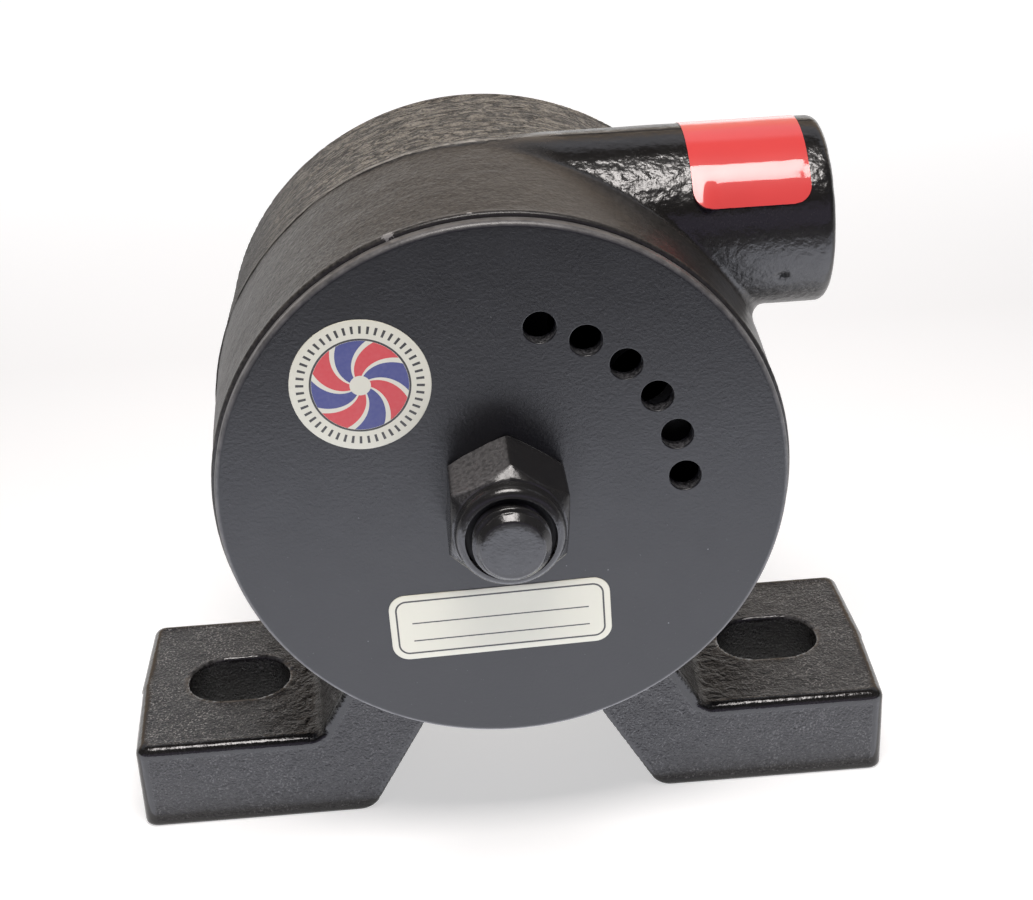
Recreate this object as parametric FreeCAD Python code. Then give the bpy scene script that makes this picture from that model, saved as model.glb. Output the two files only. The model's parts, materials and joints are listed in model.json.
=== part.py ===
import FreeCAD, Part
import math
import os

# Foot-mounted air turbine vibration motor, millimetres, +Z up.
# Origin: middle of the foot plane, under the middle of the drum.
# The drum axis runs along Y, the front cover faces -Y, the air inlet +X.

V = FreeCAD.Vector

# ---------------------------------------------------------------- dimensions
# housing casting
AXIS_Z = 71.2            # drum axis above the foot plane
HOUSING_HALF = 31.5      # half depth of the drum casting
RIM_R = 47.9             # drum radius at both rims
PARTING_R = 49.1         # drum radius at the parting plane (drafted both ways)
CHAMBER_R = 36.8         # turbine chamber bore
RIM_ROUND = 0.8

# covers
COVER_R = 47.2
COVER_T = 2.7
COVER_EDGE = 0.5
SPIGOT_R = 36.7
SPIGOT_IN_R = 34.2
SPIGOT_H = 1.6
COVER_BORE_R = 6.5
HOLE_R = 2.75            # exhaust holes
HOLE_PITCH_R = 29.9
HOLE_A0 = 1.8            # degrees from +X, seen from the front
HOLE_STEP = 15.0
HOLE_COUNT = 6
HOLE_SINK = 0.3

# sealing rings in the rim faces
SEAL_IN_R = 39.4
SEAL_OUT_R = 41.8
SEAL_DEPTH = 1.8

# legs and feet
FOOT_HALF_Y = 21.7
FOOT_H = 17.1
FOOT_X_MID = 69.6        # half width at the parting plane
FOOT_DRAFT = 0.8         # the casting gets this much smaller at y = +-FOOT_HALF_Y
LEG_IN_X = 25.7          # inner bottom corner
LEG_OUT_X = 36.2         # corner between foot top and leg
LEG_ANGLE = 60.0
SLOT_X = 50.8            # 101.6 between slot centres
SLOT_W = 14.3
SLOT_L = 19.05
FOOT_ROUND = 1.3

# air inlet
BOSS_R = 16.0
BOSS_Z = 33.15           # above the drum axis
LEG_ROOT = 3.0
BOSS_END_X = 58.4
BOSS_ROUND = 2.0
INLET_R = 7.45
INLET_DEPTH = 16.0
INLET_CHAMFER = 1.0
JET_R = 3.0

# stud and lock nuts
STUD_R = 6.35
STUD_OUT = 18.9          # stands out of the cover by this
STUD_CHAMFER = 1.65
SHAFT_R = 8.5
NUT_AF = 19.05
NUT_TURN = -4.0          # the front nut's corner stands this far from the top
NUT_HEX_H = 12.3
NUT_H = 15.4
NUT_COLLAR_R = 8.9
INSERT_R = 7.3
INSERT_H = 2.6

# turbine wheel
WHEEL_R = 36.0
WHEEL_HALF = 22.0
WHEEL_BORE_R = 20.0
WHEEL_RIB_R = 17.5
BUCKETS = 24
BUCKET_R = 3.4
BUCKET_HALF = 4.6
WEIGHT_PITCH_R = 27.9
WEIGHT_R = 5.0
RING_GROOVE_R = 21.0
RING_T = 1.2

# bearings
BRG_IN_Y = 8.0           # inner face of each bearing from the parting plane
BRG_W = 12.0
BRG_PITCH_R = 14.25
BALL_R = 3.37
BALL_COUNT = 8
GROOVE_GAP = 0.04
RACE_IN_LAND = 11.6
RACE_OUT_LAND = 16.9
CAGE_IN_R = 13.45
CAGE_OUT_R = 15.05
CAGE_HALF = 4.3
SPACER_R = 11.0
SPACER_BORE_GAP = 0.02

# stickers
LABEL_T = 0.15
ROUND_LABEL = (-22.0, 21.35, 11.3)          # x, z from the axis, radius
INFO_LABEL = (-1.7, -23.95, 37.5, 12.6, 2.9, 1.5)  # x, z, width, height, corner, tilt
INLET_LABEL_X = (34.5, 54.2)
INLET_LABEL_A = (23.7, 150.0)               # degrees up from the front of the boss

COVER_FACE = HOUSING_HALF + COVER_T
PARTS = {}


# ------------------------------------------------------------------ helpers
def rev(points):
    """Solid of revolution about the drum axis from (radius, y) points."""
    pts = [V(r, y, 0) for r, y in points]
    face = Part.Face(Part.makePolygon(pts + [pts[0]]))
    solid = face.revolve(V(0, 0, 0), V(0, 1, 0), 360)
    solid = Part.makeSolid(solid.Shells[0]) if solid.ShapeType != "Solid" else solid
    if solid.Volume < 0:
        solid.reverse()
    solid.translate(V(0, 0, AXIS_Z))
    return solid


def ycyl(r, y0, y1, x=0.0, z=0.0):
    """Cylinder along Y at (x, z) from the drum axis."""
    return Part.makeCylinder(r, y1 - y0, V(x, y0, AXIS_Z + z), V(0, 1, 0))


def mirror_y(shape):
    return shape.mirror(V(0, 0, 0), V(0, 1, 0))


def on_pitch(r, deg):
    a = math.radians(deg)
    return r * math.cos(a), r * math.sin(a)


def round_edges(shape, radius, test, name):
    """Round the edges that the test picks, and keep the shape if that fails."""
    edges = [e for e in shape.Edges if test(e)]
    if not edges:
        print("no edges for", name)
        return shape
    try:
        out = shape.makeFillet(radius, edges)
        if out.isValid() and len(out.Solids) == 1 and out.Volume > 0:
            return out.Solids[0]
        print("fillet not valid:", name)
    except Exception as err:
        print("fillet failed:", name, err)
    return shape


# ------------------------------------------------------------------ housing
def foot_section(y, inset):
    """Corners of the right leg and foot at depth y, drawn in by the draft."""
    t = math.tan(math.radians(LEG_ANGLE))
    s = inset / math.sin(math.radians(LEG_ANGLE))
    x_out = FOOT_X_MID - inset
    top = FOOT_H
    x_in = LEG_IN_X + s
    x_leg = LEG_OUT_X - s
    z_end = AXIS_Z - 6.0
    pts = [
        (x_in, 0.0),
        (x_out, 0.0),
        (x_out, top),
        (x_leg, top),
        (x_leg - (z_end - top) / t, z_end),
        (x_in - z_end / t, z_end),
    ]
    return [V(x, y, z) for x, z in pts]


def flat_solid(loops):
    """Solid closed by flat faces, each given as a loop of corners."""
    faces = [Part.Face(Part.makePolygon(loop + [loop[0]])) for loop in loops]
    solid = Part.makeSolid(Part.makeShell(faces))
    if solid.Volume < 0:
        solid.reverse()
    return solid


def make_foot():
    halves = []
    for side in (-1, 1):
        a = foot_section(0.0, 0.0)
        b = foot_section(side * FOOT_HALF_Y, FOOT_DRAFT)
        n = len(a)
        loops = [a, b] + [[a[i], a[(i + 1) % n], b[(i + 1) % n], b[i]] for i in range(n)]
        halves.append(flat_solid(loops))
    foot = halves[0].fuse(halves[1]).removeSplitter().Solids[0]

    def outer(e):
        b = e.BoundBox
        c = b.Center
        return b.ZLength > 10 and b.XLength < 2.0 and b.YLength < 1.5 and c.x > 60 and abs(c.y) > FOOT_HALF_Y - 1

    foot = round_edges(foot, 2.2, outer, "foot corners")

    def rim(e):
        b = e.BoundBox
        top = abs(b.ZMin - FOOT_H) < 0.01 and b.ZLength < 0.01
        return top and not (b.XMax < LEG_OUT_X + 1 and b.YLength > 15)

    foot = round_edges(foot, FOOT_ROUND, rim, "foot top edges")

    def toe(e):
        b = e.BoundBox
        c = b.Center
        return abs(c.z) < 0.05 and b.YLength > 15 and c.x < LEG_IN_X + 2.0

    foot = round_edges(foot, 2.0, toe, "inner toe")
    return foot


def make_housing():
    drum = rev([
        (0.0, -HOUSING_HALF),
        (RIM_R - RIM_ROUND, -HOUSING_HALF),
        (RIM_R - 0.29 * RIM_ROUND, -HOUSING_HALF + 0.29 * RIM_ROUND),
        (RIM_R, -HOUSING_HALF + RIM_ROUND),
        (PARTING_R, 0.0),
        (RIM_R, HOUSING_HALF - RIM_ROUND),
        (RIM_R - 0.29 * RIM_ROUND, HOUSING_HALF - 0.29 * RIM_ROUND),
        (RIM_R - RIM_ROUND, HOUSING_HALF),
        (0.0, HOUSING_HALF),
    ])
    boss = Part.makeCylinder(BOSS_R, BOSS_END_X, V(0, 0, AXIS_Z + BOSS_Z), V(1, 0, 0))
    boss = round_edges(boss, BOSS_ROUND, lambda e: e.BoundBox.XMin > BOSS_END_X - 0.01, "boss end")
    foot_r = make_foot()
    foot_l = foot_r.mirror(V(0, 0, 0), V(1, 0, 0))

    body = drum.fuse(boss)
    body = body.removeSplitter().Solids[0]

    body = body.fuse([foot_r, foot_l]).removeSplitter().Solids[0]

    def leg_root(e):
        b = e.BoundBox
        c = b.Center
        r = math.hypot(c.x, c.z - AXIS_Z)
        return (abs(c.x) > 8 and c.z < AXIS_Z - 30 and c.z > FOOT_H + 2 and r > RIM_R - 4
                and b.YLength > 12 and abs(c.y) < FOOT_HALF_Y and e.Length < 60)

    body = round_edges(body, LEG_ROOT, leg_root, "leg roots")

    # turbine chamber, open at both rims
    body = body.cut(ycyl(CHAMBER_R, -HOUSING_HALF - 1, HOUSING_HALF + 1))
    # sealing ring grooves
    for y0 in (-HOUSING_HALF, HOUSING_HALF - SEAL_DEPTH):
        groove = ycyl(SEAL_OUT_R, y0, y0 + SEAL_DEPTH).cut(ycyl(SEAL_IN_R, y0 - 1, y0 + SEAL_DEPTH + 1))
        body = body.cut(groove)
    # air inlet: tapped bore, then the tangential jet into the chamber
    bz = AXIS_Z + BOSS_Z
    bore = Part.makeCylinder(INLET_R, INLET_DEPTH + 1, V(BOSS_END_X - INLET_DEPTH, 0, bz), V(1, 0, 0))
    mouth = Part.makeCone(INLET_R, INLET_R + INLET_CHAMFER, INLET_CHAMFER,
                          V(BOSS_END_X - INLET_CHAMFER, 0, bz), V(1, 0, 0))
    jet = Part.makeCylinder(JET_R, BOSS_END_X - INLET_DEPTH - 2.0, V(4.0, 0, bz), V(1, 0, 0))
    body = body.cut([bore, mouth, jet])
    # bolt slots
    straight = SLOT_L - SLOT_W
    for side in (-1, 1):
        x = side * SLOT_X
        box = Part.makeBox(straight, SLOT_W, FOOT_H + 4, V(x - straight / 2, -SLOT_W / 2, -2))
        ends = [Part.makeCylinder(SLOT_W / 2, FOOT_H + 4, V(x + s * straight / 2, 0, -2)) for s in (-1, 1)]
        body = body.cut(box.fuse(ends).removeSplitter())
    body = body.removeSplitter()
    return max(body.Solids, key=lambda s: s.Volume)


# ------------------------------------------------------------------- covers
def make_cover(holes):
    """Front cover; the rear one is its mirror image without holes."""
    y_in = -HOUSING_HALF
    y_out = -COVER_FACE
    e = COVER_EDGE
    pts = [(COVER_BORE_R, y_out), (COVER_R - e, y_out)]
    pts += [(COVER_R - e + e * math.sin(math.radians(a)), y_out + e - e * math.cos(math.radians(a)))
            for a in (22.5, 45, 67.5, 90)]
    pts += [(COVER_R, y_in - 0.2), (COVER_R - 0.2, y_in),
            (SPIGOT_R, y_in), (SPIGOT_R, y_in + SPIGOT_H - 0.3), (SPIGOT_R - 0.3, y_in + SPIGOT_H),
            (SPIGOT_IN_R, y_in + SPIGOT_H), (SPIGOT_IN_R, y_in), (COVER_BORE_R, y_in)]
    cover = rev(pts)
    if holes:
        cuts = []
        for k in range(HOLE_COUNT):
            x, z = on_pitch(HOLE_PITCH_R, HOLE_A0 + k * HOLE_STEP)
            cuts.append(ycyl(HOLE_R, y_out - 1, y_in + 1, x, z))
            cuts.append(Part.makeCone(HOLE_R + HOLE_SINK, HOLE_R, HOLE_SINK,
                                      V(x, y_out, AXIS_Z + z), V(0, 1, 0)))
        cover = cover.cut(cuts)
    return cover.Solids[0]


def make_seal():
    """Ring that fills the groove in the front rim face."""
    c = 0.5
    y0, y1 = -HOUSING_HALF, -HOUSING_HALF + SEAL_DEPTH
    r0, r1 = SEAL_IN_R + 0.05, SEAL_OUT_R - 0.05
    return rev([(r0 + c, y0), (r1 - c, y0), (r1, y0 + c), (r1, y1 - c),
                (r1 - c, y1), (r0 + c, y1), (r0, y1 - c), (r0, y0 + c)])


# ---------------------------------------------------------- stud, nuts, tubes
def make_stud():
    end = COVER_FACE + STUD_OUT
    sh = HOUSING_HALF
    c = STUD_CHAMFER
    return rev([
        (0, -end), (STUD_R - c, -end), (STUD_R, -end + c * 0.8), (STUD_R, -sh), (SHAFT_R, -sh),
        (SHAFT_R, sh), (STUD_R, sh), (STUD_R, end - c * 0.8), (STUD_R - c, end), (0, end),
    ])


def make_nut():
    """Front lock nut: chamfered hexagon with a rounded collar round the insert."""
    y0 = -COVER_FACE
    corner = NUT_AF / 2 / math.cos(math.radians(30))
    pts = []
    for k in range(6):
        x, z = on_pitch(corner, 90 + NUT_TURN + 60 * k)
        pts.append(V(x, y0, AXIS_Z + z))
    hexa = Part.Face(Part.makePolygon(pts + [pts[0]])).extrude(V(0, -NUT_HEX_H, 0))
    lim = rev([(0, y0), (corner - 1.0, y0), (corner + 0.1, y0 - 0.6), (corner + 0.1, y0 - NUT_HEX_H + 1.0),
               (NUT_AF / 2 - 0.15, y0 - NUT_HEX_H), (0, y0 - NUT_HEX_H)])
    nut = hexa.common(lim)
    r = NUT_COLLAR_R
    h0 = NUT_HEX_H - 0.5
    top = NUT_H
    collar = rev([(0, y0 - h0), (r, y0 - h0), (r, y0 - top + 2.1), (r - 0.2, y0 - top + 1.25),
                  (r - 0.65, y0 - top + 0.5), (r - 1.15, y0 - top + 0.12), (r - 1.6, y0 - top), (0, y0 - top)])
    nut = nut.fuse(collar).removeSplitter()
    nut = nut.cut(ycyl(STUD_R, y0 - top - 1, y0 + 1))
    nut = nut.cut(ycyl(INSERT_R, y0 - top - 1, y0 - top + INSERT_H + 0.3))
    sink = Part.makeCone(STUD_R, STUD_R + 0.6, 0.6, V(0, y0 - 0.6, AXIS_Z), V(0, 1, 0))
    return nut.cut(sink).Solids[0]


def make_insert():
    y1 = -COVER_FACE - NUT_H + INSERT_H + 0.3
    y0 = y1 - INSERT_H
    return rev([(STUD_R, y0 + 0.2), (STUD_R + 0.2, y0), (INSERT_R - 0.2, y0), (INSERT_R, y0 + 0.2),
                (INSERT_R, y1), (STUD_R, y1)])


def tube(r0, r1, y0, y1, c=0.3):
    return rev([(r0, y0 + c), (r0 + c, y0), (r1 - c, y0), (r1, y0 + c),
                (r1, y1 - c), (r1 - c, y1), (r0 + c, y1), (r0, y1 - c)])


# ----------------------------------------------------------------- bearings
def bearing(front):
    """Pieces of the bearing whose inner face is at BRG_IN_Y (rear side)."""
    y0, y1 = BRG_IN_Y, BRG_IN_Y + BRG_W
    yc = (y0 + y1) / 2
    groove_r = BALL_R + GROOVE_GAP
    ring = Part.makeTorus(BRG_PITCH_R, groove_r, V(0, yc, AXIS_Z), V(0, 1, 0))
    inner = tube(SHAFT_R + 0.01, RACE_IN_LAND, y0, y1, 0.4).cut(ring)
    outer = tube(RACE_OUT_LAND, WHEEL_BORE_R, y0, y1, 0.4).cut(ring)
    balls, pockets = [], []
    for k in range(BALL_COUNT):
        x, z = on_pitch(BRG_PITCH_R, 360.0 * (k + 0.5) / BALL_COUNT)
        c = V(x, yc, AXIS_Z + z)
        out_dir = V(x, 0, z)
        balls.append(Part.makeSphere(BALL_R, c, out_dir))
        pockets.append(Part.makeSphere(BALL_R + 0.06, c, out_dir))
    cage = tube(CAGE_IN_R, CAGE_OUT_R, yc - CAGE_HALF, yc + CAGE_HALF, 0.2).cut(pockets)
    seals = []
    for s in (-1, 1):
        a, b = yc + s * 4.95, yc + s * 5.6
        seals.append(tube(RACE_IN_LAND + 0.06, RACE_OUT_LAND, min(a, b), max(a, b), 0.1))
    out = {
        "inner_race": inner.Solids[0],
        "outer_race": outer.Solids[0],
        "balls": Part.makeCompound(balls),
        "cage": cage.Solids[0],
        "seals": Part.makeCompound(seals),
    }
    if front:
        out = {k: mirror_y(s) for k, s in out.items()}
    return out


# ------------------------------------------------------------ turbine wheel
def make_wheel():
    h = WHEEL_HALF
    by = BRG_IN_Y
    g0 = BRG_IN_Y + BRG_W
    g1 = g0 + RING_T + 0.1
    c = 1.0
    wheel = rev([
        (WHEEL_RIB_R, -by), (WHEEL_BORE_R, -by), (WHEEL_BORE_R, -g0), (RING_GROOVE_R, -g0),
        (RING_GROOVE_R, -g1), (WHEEL_BORE_R, -g1), (WHEEL_BORE_R, -h), (WHEEL_R - c, -h), (WHEEL_R, -h + c),
        (WHEEL_R, h - c), (WHEEL_R - c, h), (WHEEL_BORE_R, h), (WHEEL_BORE_R, g1), (RING_GROOVE_R, g1),
        (RING_GROOVE_R, g0), (WHEEL_BORE_R, g0), (WHEEL_BORE_R, by), (WHEEL_RIB_R, by),
    ])
    cuts = []
    for k in range(BUCKETS):
        x, z = on_pitch(WHEEL_R + 0.4, 360.0 * k / BUCKETS + 3.0)
        cuts.append(ycyl(BUCKET_R, -BUCKET_HALF, BUCKET_HALF, x, z))
    # lightening holes on one half, slug holes on the other
    for deg in (30, 60, 90, 120, 150):
        x, z = on_pitch(WEIGHT_PITCH_R, deg)
        cuts.append(ycyl(WEIGHT_R, -h - 1, h + 1, x, z))
    for deg in (-120, -90, -60):
        x, z = on_pitch(WEIGHT_PITCH_R, deg)
        cuts.append(ycyl(WEIGHT_R, -h - 1, h + 1, x, z))
    return wheel.cut(cuts).Solids[0]


def make_slugs():
    out = []
    for deg in (-120, -90, -60):
        x, z = on_pitch(WEIGHT_PITCH_R, deg)
        slug = ycyl(WEIGHT_R, -WHEEL_HALF, WHEEL_HALF, x, z)
        slug = slug.makeChamfer(0.5, [e for e in slug.Edges if e.BoundBox.YLength < 0.01])
        out.append(slug.Solids[0])
    return Part.makeCompound(out)


def make_snap_ring():
    """Rear snap ring: open ring with two eyes, seated in the wheel groove."""
    y0 = BRG_IN_Y + BRG_W + 0.05
    y1 = y0 + RING_T
    ring = ycyl(RING_GROOVE_R - 0.1, y0, y1).cut(ycyl(RING_GROOVE_R - 2.4, y0 - 1, y1 + 1))
    gap = Part.makeBox(6.0, 10, 8.0, V(-3.0, y0 - 4, AXIS_Z + RING_GROOVE_R - 5))
    ring = ring.cut(gap)
    eyes, holes = [], []
    for s in (-1, 1):
        x, z = on_pitch(RING_GROOVE_R - 2.9, 90 + s * 13.0)
        eyes.append(ycyl(1.7, y0, y1, x, z))
        holes.append(ycyl(0.8, y0 - 1, y1 + 1, x, z))
    ring = ring.fuse(eyes).removeSplitter().cut(holes)
    # keep the eyes inside the wheel bore
    ring = ring.common(ycyl(RING_GROOVE_R - 0.1, y0, y1))
    return max(ring.Solids, key=lambda s: s.Volume)


# ----------------------------------------------------------------- stickers
def make_round_label():
    x, z, r = ROUND_LABEL
    return ycyl(r, -COVER_FACE - LABEL_T, -COVER_FACE, x, z)


def make_info_label():
    x, z, w, h, c, tilt = INFO_LABEL
    box = Part.makeBox(w, LABEL_T, h, V(-w / 2, 0, -h / 2))
    box = box.makeFillet(c, [e for e in box.Edges if e.BoundBox.YLength > LABEL_T * 0.9])
    # positive tilt turns it counter-clockwise seen from the front
    box.rotate(V(0, 0, 0), V(0, -1, 0), tilt)
    box.translate(V(x, -COVER_FACE - LABEL_T, AXIS_Z + z))
    return box.Solids[0]


def make_inlet_label():
    x0, x1 = INLET_LABEL_X
    a0, a1 = INLET_LABEL_A
    bz = AXIS_Z + BOSS_Z
    outer = Part.makeCylinder(BOSS_R + LABEL_T, x1 - x0, V(x0, 0, bz), V(1, 0, 0))
    ring = outer.cut(Part.makeCylinder(BOSS_R, x1 - x0 + 2, V(x0 - 1, 0, bz), V(1, 0, 0)))
    far = 40.0
    fan = [V(x0 - 1, 0, bz)]
    n = 8
    for i in range(n + 1):
        a = math.radians(a0 + (a1 - a0) * i / n)
        fan.append(V(x0 - 1, -far * math.cos(a), bz + far * math.sin(a)))
    wedge = Part.Face(Part.makePolygon(fan + [fan[0]])).extrude(V(x1 - x0 + 2, 0, 0))
    return ring.common(wedge).Solids[0]


# ------------------------------------------------------------------ assembly
PARTS["housing"] = make_housing()
PARTS["front_cover"] = make_cover(True)
PARTS["rear_cover"] = mirror_y(make_cover(False))
PARTS["front_cover_seal"] = make_seal()
PARTS["rear_cover_seal"] = mirror_y(make_seal())
PARTS["center_stud"] = make_stud()
PARTS["front_lock_nut"] = make_nut()
PARTS["rear_lock_nut"] = mirror_y(make_nut())
PARTS["front_lock_nut_insert"] = make_insert()
PARTS["rear_lock_nut_insert"] = mirror_y(make_insert())
PARTS["turbine_wheel"] = make_wheel()
PARTS["unbalance_slugs"] = make_slugs()
for side in ("front", "rear"):
    for piece, shape in bearing(side == "front").items():
        PARTS[side + "_bearing_" + piece] = shape
bore = SHAFT_R + SPACER_BORE_GAP
outer_face = BRG_IN_Y + BRG_W
PARTS["bearing_spacer"] = tube(bore, SPACER_R, -BRG_IN_Y, BRG_IN_Y)
PARTS["front_spacer"] = tube(bore, SPACER_R, -HOUSING_HALF, -outer_face)
PARTS["rear_spacer"] = tube(bore, SPACER_R, outer_face, HOUSING_HALF)
PARTS["rear_snap_ring"] = make_snap_ring()
PARTS["front_snap_ring"] = mirror_y(make_snap_ring())
PARTS["round_label"] = make_round_label()
PARTS["info_label"] = make_info_label()
PARTS["inlet_label"] = make_inlet_label()

os.makedirs("parts", exist_ok=True)
for name in sorted(PARTS):
    shape = PARTS[name]
    b = shape.BoundBox
    print("%-26s solids %2d valid %s volume %10.2f  x %7.2f %7.2f  y %7.2f %7.2f  z %7.2f %7.2f" % (
        name, len(shape.Solids), shape.isValid(), shape.Volume,
        b.XMin, b.XMax, b.YMin, b.YMax, b.ZMin, b.ZMax))
    shape.exportStep("parts/" + name + ".step")
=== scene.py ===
import json
import math

import bmesh
import bpy
import numpy as np
from mathutils import Matrix, Vector


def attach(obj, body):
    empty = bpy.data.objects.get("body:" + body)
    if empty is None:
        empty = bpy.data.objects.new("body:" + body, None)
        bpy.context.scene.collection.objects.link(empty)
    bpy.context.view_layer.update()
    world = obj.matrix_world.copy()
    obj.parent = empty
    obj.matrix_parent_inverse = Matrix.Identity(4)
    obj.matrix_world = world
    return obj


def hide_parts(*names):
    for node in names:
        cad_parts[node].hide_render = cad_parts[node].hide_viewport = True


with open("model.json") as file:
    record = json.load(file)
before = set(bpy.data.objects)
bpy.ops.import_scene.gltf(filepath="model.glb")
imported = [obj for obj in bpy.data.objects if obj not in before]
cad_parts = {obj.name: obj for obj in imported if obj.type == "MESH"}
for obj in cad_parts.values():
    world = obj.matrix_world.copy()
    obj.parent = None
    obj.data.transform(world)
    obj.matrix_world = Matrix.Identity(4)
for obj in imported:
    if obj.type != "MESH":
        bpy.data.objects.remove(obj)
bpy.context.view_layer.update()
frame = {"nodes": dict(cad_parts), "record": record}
nodes = frame["nodes"]
MM = 0.001

# ------------------------------------------------------------------ dimensions
# millimetres, the same numbers as the construction
AXIS_Z = 71.2
HALF = 31.5
RIM_R, PARTING_R, CHAMBER_R = 47.9, 49.1, 36.8
COVER_R, COVER_T = 47.2, 2.7
FACE_Y = HALF + COVER_T
HOLE_R, HOLE_PITCH_R, HOLE_A0, HOLE_STEP, HOLE_COUNT = 2.75, 29.9, 1.8, 15.0, 6
FOOT_Y, FOOT_H, FOOT_X, FOOT_DRAFT = 21.7, 17.1, 69.6, 0.8
LEG_IN_X, LEG_OUT_X = 25.7, 36.2
SLOT_X, SLOT_W, SLOT_L = 50.8, 14.3, 19.05
BOSS_R, BOSS_Z, BOSS_END = 16.0, 104.35, 58.4
INLET_R, INLET_DEPTH, JET_R = 7.45, 16.0, 3.0
STUD_R, STUD_END = 6.35, 53.1
NUT_AF, NUT_HEX_H, NUT_H, COLLAR_R = 19.05, 12.3, 15.4, 8.9
INSERT_R = 7.3
THREAD_PITCH = 1.954


# ----------------------------------------------------------------------- noise
def _hash(ix, iy, iz, seed):
    h = (ix.astype(np.uint32) * np.uint32(374761393)
         + iy.astype(np.uint32) * np.uint32(668265263)
         + iz.astype(np.uint32) * np.uint32(2246822519)
         + np.uint32((seed * 3266489917) & 0xFFFFFFFF))
    h = (h ^ (h >> np.uint32(13))) * np.uint32(1274126177)
    h = (h ^ (h >> np.uint32(16))) * np.uint32(2654435761)
    return (h ^ (h >> np.uint32(15))).astype(np.float64) / 4294967295.0


def vnoise(p, seed=0):
    """Smooth value noise from -1 to 1 at points p, cell size 1."""
    i = np.floor(p).astype(np.int64)
    f = p - i
    u = f * f * f * (f * (f * 6 - 15) + 10)
    out = np.zeros(len(p))
    for dx in (0, 1):
        wx = u[:, 0] if dx else 1 - u[:, 0]
        for dy in (0, 1):
            wy = u[:, 1] if dy else 1 - u[:, 1]
            for dz in (0, 1):
                wz = u[:, 2] if dz else 1 - u[:, 2]
                out += wx * wy * wz * _hash(i[:, 0] + dx, i[:, 1] + dy, i[:, 2] + dz, seed)
    return out * 2 - 1


def fbm(p, octaves=3, seed=0, gain=0.5):
    out, a, s = np.zeros(len(p)), 1.0, 0.0
    for o in range(octaves):
        out += a * vnoise(p * (2.03 ** o) + 17.3 * o, seed + o)
        s += a
        a *= gain
    return out / s


def smooth(a, b, x):
    t = np.clip((x - a) / (b - a), 0, 1)
    return t * t * (3 - 2 * t)


# ---------------------------------------------------------------- mesh helpers
def make_object(name, verts_mm, faces, sharp_deg=None):
    me = bpy.data.meshes.new(name)
    v = np.asarray(verts_mm, float) * MM
    me.from_pydata(v.tolist(), [], faces if isinstance(faces, list) else faces.tolist())
    me.validate()
    ob = bpy.data.objects.new(name, me)
    bpy.context.scene.collection.objects.link(ob)
    finish_shading(ob, sharp_deg)
    return ob


def finish_shading(ob, sharp_deg=None, outward=True):
    bm = bmesh.new()
    bm.from_mesh(ob.data)
    if outward:
        bmesh.ops.recalc_face_normals(bm, faces=bm.faces)
    for f in bm.faces:
        f.smooth = True
    if sharp_deg is not None:
        lim = math.radians(sharp_deg)
        for e in bm.edges:
            e.smooth = not (len(e.link_faces) == 2 and e.calc_face_angle(0.0) > lim)
    bm.to_mesh(ob.data)
    bm.free()
    ob.data.update()


def lathe_grid(profile, n, radius_of=None, closed=False):
    """Rings of n points about the drum axis from (radius, y) pairs."""
    verts, faces = [], []
    a = np.arange(n) * 2 * math.pi / n
    for r, y in profile:
        rr = np.full(n, r, float) if np.isscalar(r) else np.asarray(r, float)
        yy = np.full(n, y, float) if np.isscalar(y) else np.asarray(y, float)
        verts.append(np.stack([rr * np.cos(a), yy, AXIS_Z + rr * np.sin(a)], 1))
    m = len(profile)
    rows = m if closed else m - 1
    for i in range(rows):
        b0, b1 = i * n, ((i + 1) % m) * n
        for j in range(n):
            k = (j + 1) % n
            faces.append([b0 + j, b0 + k, b1 + k, b1 + j])
    return np.concatenate(verts), faces


# --------------------------------------------------------------------- casting
def ri(a, b, r):
    """Common part of two shapes with its edge rounded by r."""
    qa, qb = a + r, b + r
    return np.minimum(np.maximum(qa, qb), 0) + np.hypot(np.maximum(qa, 0), np.maximum(qb, 0)) - r


def ru(a, b, r):
    """Union of two shapes with a fillet of radius r between them."""
    return np.maximum(r, np.minimum(a, b)) - np.hypot(np.maximum(r - a, 0), np.maximum(r - b, 0))


S60, C60 = math.sin(math.radians(60)), math.cos(math.radians(60))


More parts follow.
